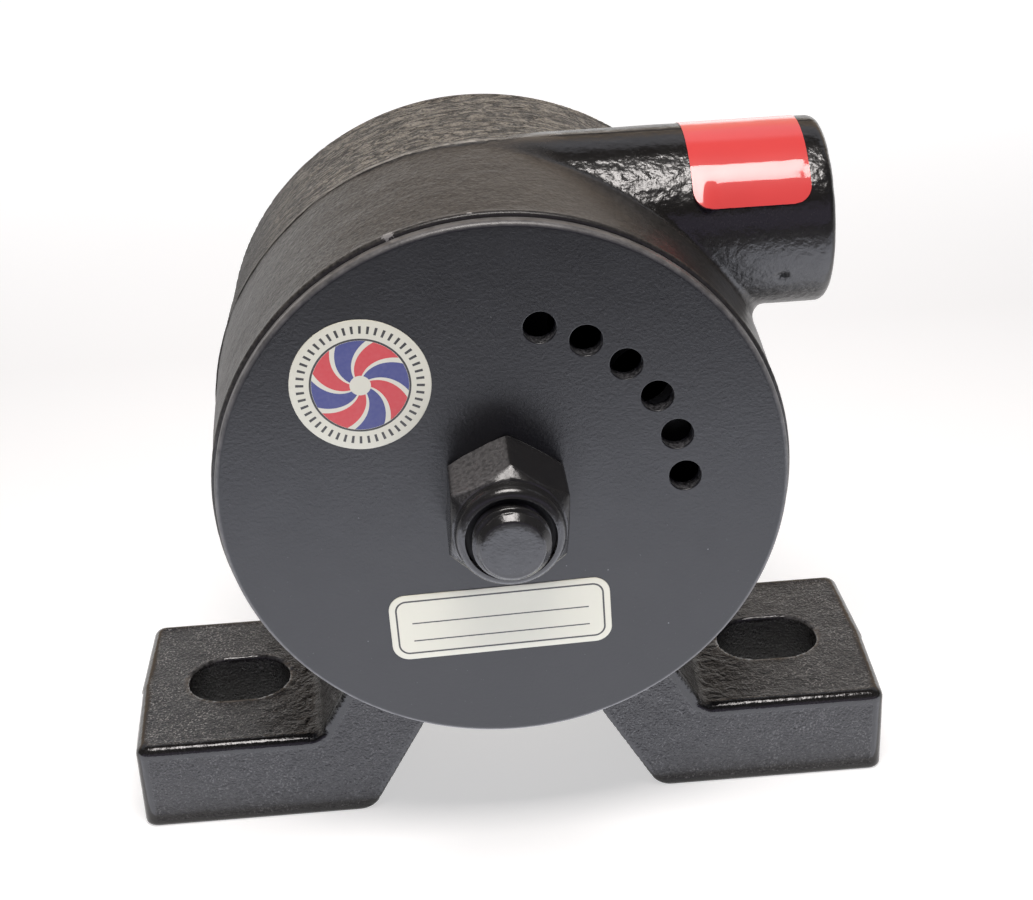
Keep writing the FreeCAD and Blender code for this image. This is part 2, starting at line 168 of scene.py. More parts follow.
def casting(x, y, z):
    """Signed distance to the housing casting, millimetres."""
    zz = z - AXIS_Z
    ax, ay = np.abs(x), np.abs(y)
    r = np.hypot(x, zz)
    side = (r - (PARTING_R - 1.2 / 30.7 * ay)) * 0.9992
    drum = ri(side, ay - HALF, 0.6)
    bz = z - BOSS_Z
    rb = np.hypot(y, bz)
    boss = np.maximum(ri(rb - BOSS_R, x - BOSS_END, 2.0), 2.0 - x)
    inset = FOOT_DRAFT * ay / FOOT_Y
    d_in = -((ax - LEG_IN_X) * S60 + z * C60) + inset
    d_out = (ax - LEG_OUT_X) * S60 + (z - FOOT_H) * C60 + inset
    d_y = ay - FOOT_Y
    d_x = ax - (FOOT_X - inset)
    heel = ru(z - FOOT_H, d_out, 1.0)
    foot = ri(ri(d_x, d_y, 2.4), heel, 2.1)
    foot = ri(foot, ri(d_in, -z, 2.0), 0.7)
    foot = np.maximum(foot, z - (AXIS_Z - 6.0))
    # the fillet under the inlet boss fades out towards its top
    root = 0.3 + 3.9 * (1 - smooth(8.0, 30.0, zz))
    body = ru(drum, boss, root)
    body = ru(body, foot, 3.2)
    body = np.maximum(body, -z)
    # slots
    straight = (SLOT_L - SLOT_W) / 2
    slot = np.hypot(np.maximum(np.abs(ax - SLOT_X) - straight, 0), y) - SLOT_W / 2
    slot = np.where(np.abs(ax - SLOT_X) < straight, ay - SLOT_W / 2, slot)
    slot = np.maximum(slot, z - (FOOT_H + 8.0))
    body = ri(body, -slot, 0.55)
    # chamber, sealing grooves and the air passage
    body = np.maximum(body, CHAMBER_R - r)
    groove = np.maximum(np.abs(r - 40.6) - 1.2, (HALF - 1.8) - ay)
    body = np.maximum(body, -groove)
    bore = np.maximum(rb - (INLET_R + 0.85), (BOSS_END - INLET_DEPTH) - x)
    mouth = (rb - (INLET_R + 0.85) + (BOSS_END - 0.9 - x)) * 0.7071
    jet = np.maximum(np.maximum(rb - JET_R, 4.0 - x), x - BOSS_END)
    body = np.maximum(body, -np.minimum(np.minimum(bore, np.maximum(mouth, BOSS_END - 3 - x)), jet))
    return body


def surface_nets(vol, origin, h):
    """Quad surface of the zero level of a sampled distance field."""
    nx, ny, nz = vol.shape
    ins = vol < 0
    cnt = np.zeros((nx - 1, ny - 1, nz - 1), np.int8)
    for dx in (0, 1):
        for dy in (0, 1):
            for dz in (0, 1):
                cnt += ins[dx:nx - 1 + dx, dy:ny - 1 + dy, dz:nz - 1 + dz]
    cells = np.argwhere((cnt > 0) & (cnt < 8))
    index = np.full(cnt.shape, -1, np.int32)
    index[cells[:, 0], cells[:, 1], cells[:, 2]] = np.arange(len(cells), dtype=np.int32)
    corner = {}
    for c in range(8):
        o = (c & 1, (c >> 1) & 1, (c >> 2) & 1)
        corner[o] = vol[cells[:, 0] + o[0], cells[:, 1] + o[1], cells[:, 2] + o[2]].astype(float)
    acc = np.zeros((len(cells), 3))
    num = np.zeros(len(cells))
    for o, v0 in corner.items():
        for axis in range(3):
            if o[axis]:
                continue
            e = list(o)
            e[axis] = 1
            v1 = corner[tuple(e)]
            hit = (v0 < 0) != (v1 < 0)
            t = np.where(hit, v0 / np.where(hit, v0 - v1, 1), 0)
            pos = np.tile(np.array(o, float), (len(cells), 1))
            pos[:, axis] = t
            acc += pos * hit[:, None]
            num += hit
    verts = (cells + acc / num[:, None]) * h + origin
    quads = []
    for axis in range(3):
        lo = [slice(1, -1)] * 3
        lo[axis] = slice(0, -1)
        hi = list(lo)
        hi[axis] = slice(1, None)
        a, b = ins[tuple(lo)], ins[tuple(hi)]
        for flip, mask in ((False, a & ~b), (True, ~a & b)):
            at = np.argwhere(mask)
            if not len(at):
                continue
            at = at + 1
            at[:, axis] -= 1
            u, w = (axis + 1) % 3, (axis + 2) % 3
            q = []
            for du, dw in ((-1, -1), (0, -1), (0, 0), (-1, 0)):
                c = at.copy()
                c[:, u] += du
                c[:, w] += dw
                q.append(index[c[:, 0], c[:, 1], c[:, 2]])
            q = np.stack(q[::-1] if flip else q, 1)
            quads.append(q)
    return verts, np.concatenate(quads)


def field_normal(p, e=0.05):
    g = np.stack([casting(*(p + d).T) - casting(*(p - d).T) for d in np.eye(3) * e], 1)
    return g / np.maximum(np.linalg.norm(g, axis=1, keepdims=True), 1e-9)


def curvature(p, e=0.45):
    """Mean bend of the casting's surface, positive on outer edges, one over millimetres."""
    c = casting(*p.T)
    lap = sum(casting(*(p + d).T) + casting(*(p - d).T) - 2 * c for d in np.eye(3) * e)
    return lap / (e * e)


def make_housing():
    h = 0.6
    lo = np.array([-71.4, -33.15, -1.3])
    hi = np.array([71.4, 33.15, 121.9])
    n = np.ceil((hi - lo) / h).astype(int) + 1
    gx, gy, gz = (lo[i] + h * np.arange(n[i]) for i in range(3))
    vol = np.empty(tuple(n), np.float32)
    Y, Z = np.meshgrid(gy, gz, indexing="ij")
    for i0 in range(0, n[0], 16):
        X = gx[i0:i0 + 16]
        vol[i0:i0 + 16] = casting(X[:, None, None], Y[None], Z[None])
    p, quads = surface_nets(vol, lo, h)
    for _ in range(3):
        d = casting(*p.T)
        p = p - field_normal(p) * np.clip(d, -0.4, 0.4)[:, None] * 0.95
    nrm = field_normal(p, 0.25)
    bend = curvature(p)

    x, y, z = p.T
    zz = z - AXIS_Z
    r = np.hypot(x, zz)
    th = np.arctan2(zz, x)
    rb = np.hypot(y, z - BOSS_Z)
    ab = np.degrees(np.arctan2(z - BOSS_Z, -y))   # up from the front of the boss

    on_boss = smooth(0.6, 0.0, np.abs(rb - BOSS_R)) * smooth(9.0, 16.0, x) * (z > AXIS_Z)
    on_boss = np.maximum(on_boss, smooth(BOSS_END - 0.8, BOSS_END - 0.2, x) * (z > 85))
    on_drum = smooth(1.6, 0.4, np.abs(r - (PARTING_R - 0.6))) * (1 - on_boss)
    low = smooth(FOOT_H + 26, FOOT_H + 8, z) * (r > PARTING_R - 2) * (1 - on_drum)
    plain = (np.abs(y) > HALF - 0.15) | (z < 0.2) | (r < CHAMBER_R + 0.9) | ((rb < INLET_R + 2.2) & (x > 20))
    slot = np.hypot(np.maximum(np.abs(np.abs(x) - SLOT_X) - 2.375, 0), y) < SLOT_W / 2 + 0.25
    cast = np.where(plain | (slot & (z < FOOT_H - 0.4)), 0.0, 1.0)
    cast = cast * smooth(HALF - 0.1, HALF - 1.4, np.abs(y))

    arcs = th * 48.5
    line = 0.35 * fbm(np.stack([arcs / 7.0, 0 * y, 0 * y], 1), 3, 5) + 0.15 * fbm(np.stack([arcs / 1.6, 0 * y, 0 * y], 1), 2, 8)
    line_b = 0.3 * fbm(np.stack([x / 6.0, 0 * y, 0 * y + 3], 1), 3, 6)
    off = np.where(on_boss > 0.5, y - line_b, y - line)
    back = smooth(-0.3, 0.5, off)

    warp = fbm(p / 9.0, 2, 40) * 1.2
    edge = smooth(0.16, 0.42, bend)
    wr = fbm(np.stack([arcs / 2.6 + warp, y / 1.2 + 0.6 * warp, 0 * y], 1), 2, 11)
    wr2 = fbm(np.stack([arcs / 9.0, y / 3.2 + warp, 0 * y], 1), 2, 14)
    fine = fbm(p / 1.25, 2, 21)
    soft = fbm(p / 3.4, 2, 27)
    wide = fbm(p / 13.0, 2, 33)

    d = np.zeros(len(p))
    d += on_drum * (0.10 * (wide - 0.7)
                    + back * (0.11 * (wr - 0.7) + 0.10 * (wr2 - 0.7) + 0.07 * (fine - 0.7))
                    + (1 - back) * (0.055 * (wr2 - 0.7) + 0.04 * (fine - 0.7)))
    boss_rough = 0.12 + 0.88 * smooth(22.0, 36.0, ab) * smooth(68.0, 56.0, ab)
    d += on_boss * (0.07 * (soft - 0.7) * boss_rough + 0.07 * (fine - 0.7) * boss_rough + 0.08 * (wide - 0.7))
    d += low * (0.10 * (fine - 0.7) + 0.08 * (soft - 0.7) + 0.10 * (wide - 0.7)) * (1 - 0.9 * edge)
    # parting line: the two mould halves did not quite meet, so the rear one stands a step higher
    along = np.where(on_boss > 0.5, x, arcs)
    keep = np.clip(0.62 + 0.55 * fbm(np.stack([along / 3.5, 0 * y, 0 * y + 9], 1), 2, 61), 0.15, 1.0)
    lip = np.exp(-((off - 0.5) / 0.9) ** 2)
    d = d * (1 - 0.75 * lip * on_drum)
    d_line = -0.27 * smooth(0.3, -0.4, off) * np.exp(-(np.maximum(-off, 0) / 11.0) ** 2) * (0.45 + 0.55 * keep)
    flank = smooth(0.75, 0.35, np.abs(nrm[:, 2]))
    line_at = np.clip(on_drum + 0.3 * on_boss * (x < BOSS_END - 1.5) + 0.7 * low * flank, 0, 1) * (z > 1.0)
    d += d_line * line_at
    # a pit in the boss paint
    pit = np.array([49.4, -14.66, BOSS_Z - 6.4])
    d -= 0.5 * np.exp(-(np.linalg.norm(p - pit, axis=1) / 0.8) ** 2)
    d = np.minimum(d, 0.0) * cast
    p = p + nrm * d[:, None]
    p[:, 0] = np.clip(p[:, 0], -FOOT_X, FOOT_X)
    p[:, 1] = np.clip(p[:, 1], -HALF, HALF)
    p[:, 2] = np.maximum(p[:, 2], 0.0)

    ob = make_object("cast_housing", p, quads)
    n_v = len(ob.data.vertices)
    side = smooth(12.0, -30.0, x)
    under = smooth(18.0, -6.0, ab)
    coarse = on_drum * (0.22 + 0.30 * side * (1 - back) + 0.78 * back) + low * 0.85
    coarse = np.clip(coarse + on_boss * (0.06 + 0.16 * boss_rough + 0.30 * under), 0, 1) * cast
    coarse = coarse * (1 - 0.92 * edge)
    heel = 0.35 + 0.65 * smooth(38.0, 50.0, np.abs(x))
    feet = low * (1 - edge) * np.where(nrm[:, 2] > 0.6, heel * np.where(x > 0, 0.55, 1.0), 1.0)
    folds = low * (1 - 0.9 * edge) * smooth(50.0, 42.0, np.abs(x)) * smooth(0.2, 0.6, nrm[:, 2]) * smooth(FOOT_H + 12.0, FOOT_H + 4.0, z)
    ring = np.hypot(np.maximum(np.abs(np.abs(x) - SLOT_X) - 2.375, 0), y) - SLOT_W / 2
    slot_rim_highlight = smooth(1.0, 0.45, np.abs(ring - 0.15)) * smooth(FOOT_H - 0.75, FOOT_H - 0.25, z) * (low > 0.5)
    glossy = np.clip(on_boss * (1 - 0.75 * under) + 0.9 * edge * (low > 0.4), 0, 1)
    hammered = on_boss * np.clip(boss_rough + 0.30 * under, 0, 1)
    # machined faces and the inlet bore carry no paint
    bare = np.where((z < 0.12) | (r < CHAMBER_R + 0.9) | ((rb < INLET_R + 1.6) & (x > 20)), 1.0, 0.0)
    for key, val in (("coarse", coarse), ("glossy", glossy), ("bare", bare), ("rear", back * on_drum),
                     ("off", np.clip(off, -6, 6)), ("line", line_at * keep * cast), ("feet", feet), ("hammered", hammered), ("folds", folds), ("slot_rim_highlight", slot_rim_highlight), ("shell", on_drum * (1 + 0.8 * side * (1 - back)) + 2.2 * on_boss * smooth(74.0, 90.0, ab)),
                     ("film", on_drum * (1 - back) * (0.32 + 0.43 * side))):
        at = ob.data.attributes.new(key, "FLOAT", "POINT")
        if len(val) == n_v:
            at.data.foreach_set("value", val.astype(np.float32))
    return ob


# ---------------------------------------------------------------------- covers
def make_cover(front):
    """Turned plate with a rounded rim, modelled on the front side."""
    y_in, y_out = -HALF, -FACE_Y
    e = 0.95
    prof = [(6.5, y_out + 0.35)] + [(6.5 + 0.35 - 0.35 * math.cos(math.radians(t)), y_out + 0.35 - 0.35 * math.sin(math.radians(t))) for t in (30, 60, 90)]
    prof += [(12.0, y_out), (24.0, y_out), (COVER_R - e - 0.6, y_out)]
    prof += [(COVER_R - e + e * math.sin(math.radians(t)), y_out + e - e * math.cos(math.radians(t))) for t in range(0, 91, 10)]
    prof += [(COVER_R, y_in - 0.55), (COVER_R - 0.12, y_in - 0.24), (COVER_R - 0.45, y_in), (36.7, y_in), (36.7, y_in + 1.3), (36.4, y_in + 1.6),
             (34.2, y_in + 1.6), (34.2, y_in), (6.5, y_in)]
    v, f = lathe_grid(prof, 288, closed=True)
    if not front:
        v = v * np.array([1, -1, 1])
    name = "front_plate" if front else "rear_plate"
    ob = make_object(name, v, f, 40)
    if front:
        cutters = []
        for k in range(HOLE_COUNT):
            a = math.radians(HOLE_A0 + k * HOLE_STEP)
            cx, cz = HOLE_PITCH_R * math.cos(a), AXIS_Z + HOLE_PITCH_R * math.sin(a)
            lip, hr = 0.20, HOLE_R - 0.09
            pr = [(hr, y_in + 1.0), (hr, y_out + lip)]
            pr += [(hr + lip - lip * math.cos(math.radians(t)), y_out + lip - lip * math.sin(math.radians(t))) for t in (22.5, 45, 67.5, 84)]
            pr += [(hr + lip + 0.02, y_out - 1.0)]
            n = 64
            ang = np.arange(n) * 2 * math.pi / n
            vv = np.concatenate([np.stack([cx + r * np.cos(ang), np.full(n, yy), cz + r * np.sin(ang)], 1) for r, yy in pr])
            ff = [[i * n + j, i * n + (j + 1) % n, (i + 1) * n + (j + 1) % n, (i + 1) * n + j] for i in range(len(pr) - 1) for j in range(n)]
            ff += [list(range(n)), list(range((len(pr) - 1) * n, len(pr) * n))]
            cutters.append(make_object("hole_cutter_%d" % k, vv, ff, 40))
        for c in cutters:
            m = ob.modifiers.new("cut", "BOOLEAN")
            m.operation, m.solver, m.object = "DIFFERENCE", "EXACT", c
        dg = bpy.context.evaluated_depsgraph_get()
        new = bpy.data.meshes.new_from_object(ob.evaluated_get(dg))
        ob.modifiers.clear()
        old = ob.data
        ob.data = new
        bpy.data.meshes.remove(old)
        for c in cutters:
            me = c.data
            bpy.data.objects.remove(c)
            bpy.data.meshes.remove(me)
        bm = bmesh.new()
        bm.from_mesh(ob.data)
        bmesh.ops.remove_doubles(bm, verts=bm.verts, dist=1e-6)
        bm.to_mesh(ob.data)
        bm.free()
        finish_shading(ob, 40)
    w = ob.modifiers.new("face_normals", "WEIGHTED_NORMAL")
    w.keep_sharp = True
    w.weight = 100
    return ob


# --------------------------------------------------------------- stud and nuts
def make_stud():
    """Fixed shaft with a cut thread on both ends."""
    n = 120
    a = np.arange(n) / n
    rows = []
    step = THREAD_PITCH / 16
    depth = 0.72
    # the thread shows from inside the lock nut to the chamfered end
    y_end = -STUD_END
    y = y_end
    chamfer, ch_len = 1.30, 1.70
    rows.append((0.02, y_end))
    rows.append((STUD_R - chamfer - 1.2, y_end))
    rows.append((STUD_R - chamfer - 0.25, y_end))
    rows.append((STUD_R - chamfer - 0.06, y_end + 0.04))
    k = 1
    first = y_end + 0.16
    last = -FACE_Y - 8.0
    m = int((last - first) / step)
    for i in range(m):
        yy = first + i * step
        ph = (yy / THREAD_PITCH + a + 0.54) % 1.0
        t = np.abs(ph - 0.5) * 2
        groove = 1 - np.clip((t - 0.14) / 0.68, 0, 1)
        groove = groove * groove * (3 - 2 * groove)
        rr = STUD_R - 0.03 - depth * groove
        cone = STUD_R - chamfer + (yy - y_end) * chamfer / ch_len
        rr = np.minimum(rr, cone)
        rows.append((rr, yy))
    rows.append((STUD_R - 0.02, last))
    rows.append((STUD_R - 0.02, -HALF - 0.3))
    rows.append((STUD_R - 0.02, -HALF))
    rows.append((8.5 - 0.2, -HALF))
    rows.append((8.5, -HALF + 0.2))
    front = rows
    back = []
    for r, yy in reversed(front):
        back.append((r if np.isscalar(r) else r[::-1], -yy))
    v, f = lathe_grid(front + back, n)
    nn = len(front + back)
    f += [list(range(n))[::-1], list(range((nn - 1) * n, nn * n))]
    ob = make_object("threaded_stud", v, f, 50)
    return ob


def hex_radius(theta, af, rho):
    """Distance from the middle to a hexagon with corners rounded by rho."""
    t = (theta + math.pi / 6) % (math.pi / 3) - math.pi / 6      # 0 at the middle of a flat
    inner = af / 2 - rho
    flat = af / 2 / np.cos(t)
    # corner circle
    cr = inner / math.cos(math.pi / 6)
    d = np.pi / 6 - np.abs(t)
    b = cr * np.cos(d)
    disc = np.maximum(rho * rho - (cr * np.sin(d)) ** 2, 0)
    circle = b + np.sqrt(disc)
    lim = math.atan2(inner * math.tan(math.pi / 6), af / 2)
    return np.where(np.abs(t) > lim, circle, flat)


def make_nut(name, turn, side):
    """Lock nut: hexagon with worn corners, cone chamfers, and the rounded collar of the insert."""
    n = 216
    th = np.arange(n) * 2 * math.pi / n
    corner = math.radians(90 + turn)
    rh = hex_radius(th - corner + math.pi / 6, NUT_AF, 0.55)
    y0 = FACE_Y
    rows = []

    def put(r, h):
        rows.append((r, h))

    # bearing face, lower chamfer, hexagon, upper chamfer
    low = np.minimum(rh, NUT_AF / 2 + 0.35)
    put(STUD_R + 0.6, 0.0)
    put(low * 0.98, 0.0)
    put(low, 0.05)
    cut_lo = 0.05 + (rh - low) * 0.55
    put(rh - 0.02, cut_lo + 0.02)
    put(rh, cut_lo + 0.22)
    for k in (0.25, 0.5, 0.75):
        put(rh, 0.3 + (NUT_HEX_H - 1.6) * k)
    base = COLLAR_R + 0.18
    slope = 0.98
    cut_hi = NUT_HEX_H + 0.25 - np.maximum(rh - base, 0) * slope
    put(rh, cut_hi - 0.34)
    put(rh - 0.04, cut_hi - 0.13)
    put(rh - 0.15, cut_hi + 0.06)
    for k in (0.25, 0.5, 0.75):
        put((rh - 0.15) * (1 - k) + base * k, cut_hi * (1 - k) + (NUT_HEX_H + 0.25) * k + 0.10 * math.sin(math.pi * k))
    put(base + 0.12, NUT_HEX_H + 0.22)
    put(base - 0.05, NUT_HEX_H + 0.30)
    # fillet to the collar and its rolled rim
    put(COLLAR_R + 0.03, NUT_HEX_H + 0.36)
    put(COLLAR_R, NUT_HEX_H + 0.55)
    top = NUT_H
    put(COLLAR_R, top - 2.0)
    for t in range(0, 91, 10):
        put(COLLAR_R - 1.55 + 1.55 * math.cos(math.radians(t)), top - 1.75 + 1.75 * math.sin(math.radians(t)))
    nick = np.zeros(n)
    for deg in (28.0, 152.0, 208.0, 332.0):
        off = np.degrees(np.abs((th - math.radians(deg) + math.pi) % (2 * math.pi) - math.pi))
        nick += np.exp(-(off / 2.4) ** 2)
    put(INSERT_R + 0.12 + 0.45 * nick, top - 0.02 - 0.05 * nick)
    put(INSERT_R - 0.02 + 0.55 * nick, top - 0.30 - 0.6 * nick)
    put(INSERT_R - 0.02, top - 2.9)
    put(STUD_R + 0.02, top - 2.9)
    put(STUD_R + 0.02, 0.6)
    prof = [(r, -(y0 + h)) for r, h in rows]
    v, f = lathe_grid(prof, n, closed=True)
    # the rear nut is the front one mirrored to the back
    if side > 0:
        v = v * np.array([1, -1, 1])
    ob = make_object(name, v, f, 46)
    # one flat of the front nut is coloured lighter and made rougher: painted light standing in for the reflection it
    # catches
    deg = np.degrees(th) - (90 + turn)
    flat = smooth(0.5, 3.0, deg) * smooth(60.5, 57.0, deg) if side < 0 else np.zeros(n)
    lit_flat_paint = np.concatenate([np.maximum(flat, 0.6) if 1 < i < 4 else flat if 2 < i < 11 else flat * 0.3 if i < 16 else np.zeros(n) for i in range(len(rows))])
    at = ob.data.attributes.new("lit_flat_paint", "FLOAT", "POINT")
    if len(lit_flat_paint) == len(ob.data.vertices):
        at.data.foreach_set("value", lit_flat_paint.astype(np.float32))
    return ob


def make_insert(name, side):
    top = FACE_Y + NUT_H
    prof = [(STUD_R - 0.5, -(top - 0.95))]
    prof += [(r, -(top - yy)) for r, yy in ((STUD_R + 0.1, 0.86), (STUD_R + 0.35, 0.80), (INSERT_R - 0.3, 0.80), (INSERT_R - 0.06, 0.86), (INSERT_R - 0.04, 1.0), (INSERT_R - 0.04, 2.85), (STUD_R - 0.5, 2.85))]
    v, f = lathe_grid(prof, 96, closed=True)
    if side > 0:
        v = v * np.array([1, -1, 1])
    return make_object(name, v, f, 40)


def make_inlet_thread():
    """Pipe thread cut in the inlet bore, with a bevelled mouth and a run-out."""
    n, pitch = 120, 1.411
    a = np.arange(n) / n
    x0, x1 = BOSS_END - INLET_DEPTH + 0.05, BOSS_END - 0.75
    steps = int((x1 - x0) / (pitch / 12))
    rows = [(np.full(n, INLET_R + 1.02), x0)]
    for i in range(steps + 1):
        xx = x0 + (x1 - x0) * i / steps
        t = np.abs((xx / pitch + a) % 1.0 - 0.5) * 2
        cut = np.clip((t - 0.12) / 0.76, 0, 1)
        root = 0.78 * smooth(x0 + 0.8, x0 + 4.5, xx)
        rr = INLET_R + 0.02 + root * cut
        rr = np.maximum(rr, INLET_R + 0.95 - (x1 - xx) * 0.9)
        rows.append((rr, xx))
    rows.append((np.full(n, INLET_R + 1.02), x1))
    verts, faces = [], []
    for rr, xx in rows:
        verts.append(np.stack([np.full(n, xx), -rr * np.cos(a * 2 * math.pi), BOSS_Z + rr * np.sin(a * 2 * math.pi)], 1))
    m = len(rows)
    for i in range(m):
        b0, b1 = i * n, ((i + 1) % m) * n
        for j in range(n):
            k = (j + 1) % n
            faces.append([b0 + j, b0 + k, b1 + k, b1 + j])
    return make_object("inlet_thread", np.concatenate(verts), faces, 40)


# ---------------------------------------------------------------------- labels
def make_flat_label(name, cx, cz, outline, thick=0.15, rings=5):
    """Thin sticker on the front cover from an outline of (x, z) points about its middle."""
    out = np.asarray(outline, float)
    n = len(out)
    verts, faces = [], []
    levels = [(1.0, 0.0), (1.0, thick * 0.6), (0.998, thick * 0.9), (0.993, thick)]
    levels += [(1 - k / rings, thick) for k in range(1, rings)]
    for s, t in levels:
        for q in out * s:
            verts.append((cx + q[0], -FACE_Y - t, AXIS_Z + cz + q[1]))
    for i in range(len(levels) - 1):
        for j in range(n):
            k = (j + 1) % n
            faces.append([i * n + j, i * n + k, (i + 1) * n + k, (i + 1) * n + j])
    faces.append([(len(levels) - 1) * n + j for j in range(n)])
    faces.append(list(range(n))[::-1])
    return make_object(name, verts, faces, 50)


def rounded_rect(w, h, c, tilt, seg=10):
    pts = []
    for sx, sz, a0 in ((1, 1, 0), (-1, 1, 90), (-1, -1, 180), (1, -1, 270)):
        for i in range(seg + 1):
            a = math.radians(a0 + 90 * i / seg)
            pts.append((sx * (w / 2 - c) + c * math.cos(a), sz * (h / 2 - c) + c * math.sin(a)))
    t = math.radians(tilt)
    return [(x * math.cos(t) - z * math.sin(t), x * math.sin(t) + z * math.cos(t)) for x, z in pts]


def make_wrap_label():
    """Sticker wrapped over the inlet boss, with rounded corners and slight waves."""
    x0, x1, a0, a1 = 34.5, 54.2, 23.7, 150.0
    thick, rc = 0.15, 3.0
    m, k = 150, 64
    arc_len = math.radians(a1 - a0) * BOSS_R
    top, bot = [], []
    for i in range(m + 1):
        # rows evenly spaced along the arc
        s = i / m
        s = s + 0.0 * math.sin(2 * math.pi * s)
        d = min(s, 1 - s) * arc_len
        ins = rc - math.sqrt(max(rc * rc - (rc - d) ** 2, 0)) if d < rc else 0.0
        ang = a0 + (a1 - a0) * s
        for j in range(k + 1):
            x = x0 + ins + (x1 - x0 - 2 * ins) * j / k
            top.append((x, ang))
    top = np.array(top)
    q = np.stack([top[:, 0] / 5.0, np.radians(top[:, 1]) * BOSS_R / 5.0, 0 * top[:, 0]], 1)
    wave = 0.026 * fbm(q, 2, 71) + 0.006 * fbm(q * 2.6, 2, 75)
    up_mm = np.radians(top[:, 1] - a0) * BOSS_R
    lift = 0.95 * np.clip((7.5 - up_mm) / 7.5, 0, 1) ** 2 * smooth(4.6, 1.4, top[:, 0] - x0)
    edge = np.minimum(np.minimum(top[:, 0] - x0, x1 - top[:, 0]), np.radians(np.minimum(top[:, 1] - a0, a1 - top[:, 1])) * BOSS_R)
    hug = smooth(0.0, 0.8, edge)
    rad_t = BOSS_R + thick - 0.05 + (wave * hug - 0.0) + lift
    rad_t = np.minimum(rad_t, BOSS_R + 0.15 + lift)
    rad_b = np.full(len(top), BOSS_R - 0.12)

    def place(rad):
        a = np.radians(top[:, 1])
        return np.stack([top[:, 0], -rad * np.cos(a), BOSS_Z + rad * np.sin(a)], 1)

    v = np.concatenate([place(rad_t), place(rad_b)])
    n1 = (m + 1) * (k + 1)
    faces = []
    for i in range(m):
        for j in range(k):
            a = i * (k + 1) + j
            b, c, d = a + 1, a + k + 2, a + k + 1
            faces.append([a, b, c, d])
            faces.append([n1 + a, n1 + d, n1 + c, n1 + b])
    rim = [j for j in range(k + 1)] + [i * (k + 1) + k for i in range(1, m + 1)]
    rim += [m * (k + 1) + j for j in range(k - 1, -1, -1)] + [i * (k + 1) for i in range(m - 1, 0, -1)]
    for t in range(len(rim)):
        a, b = rim[t], rim[(t + 1) % len(rim)]
        faces.append([a, b, n1 + b, n1 + a])
    return make_object("wrap_label", v, faces, 50)


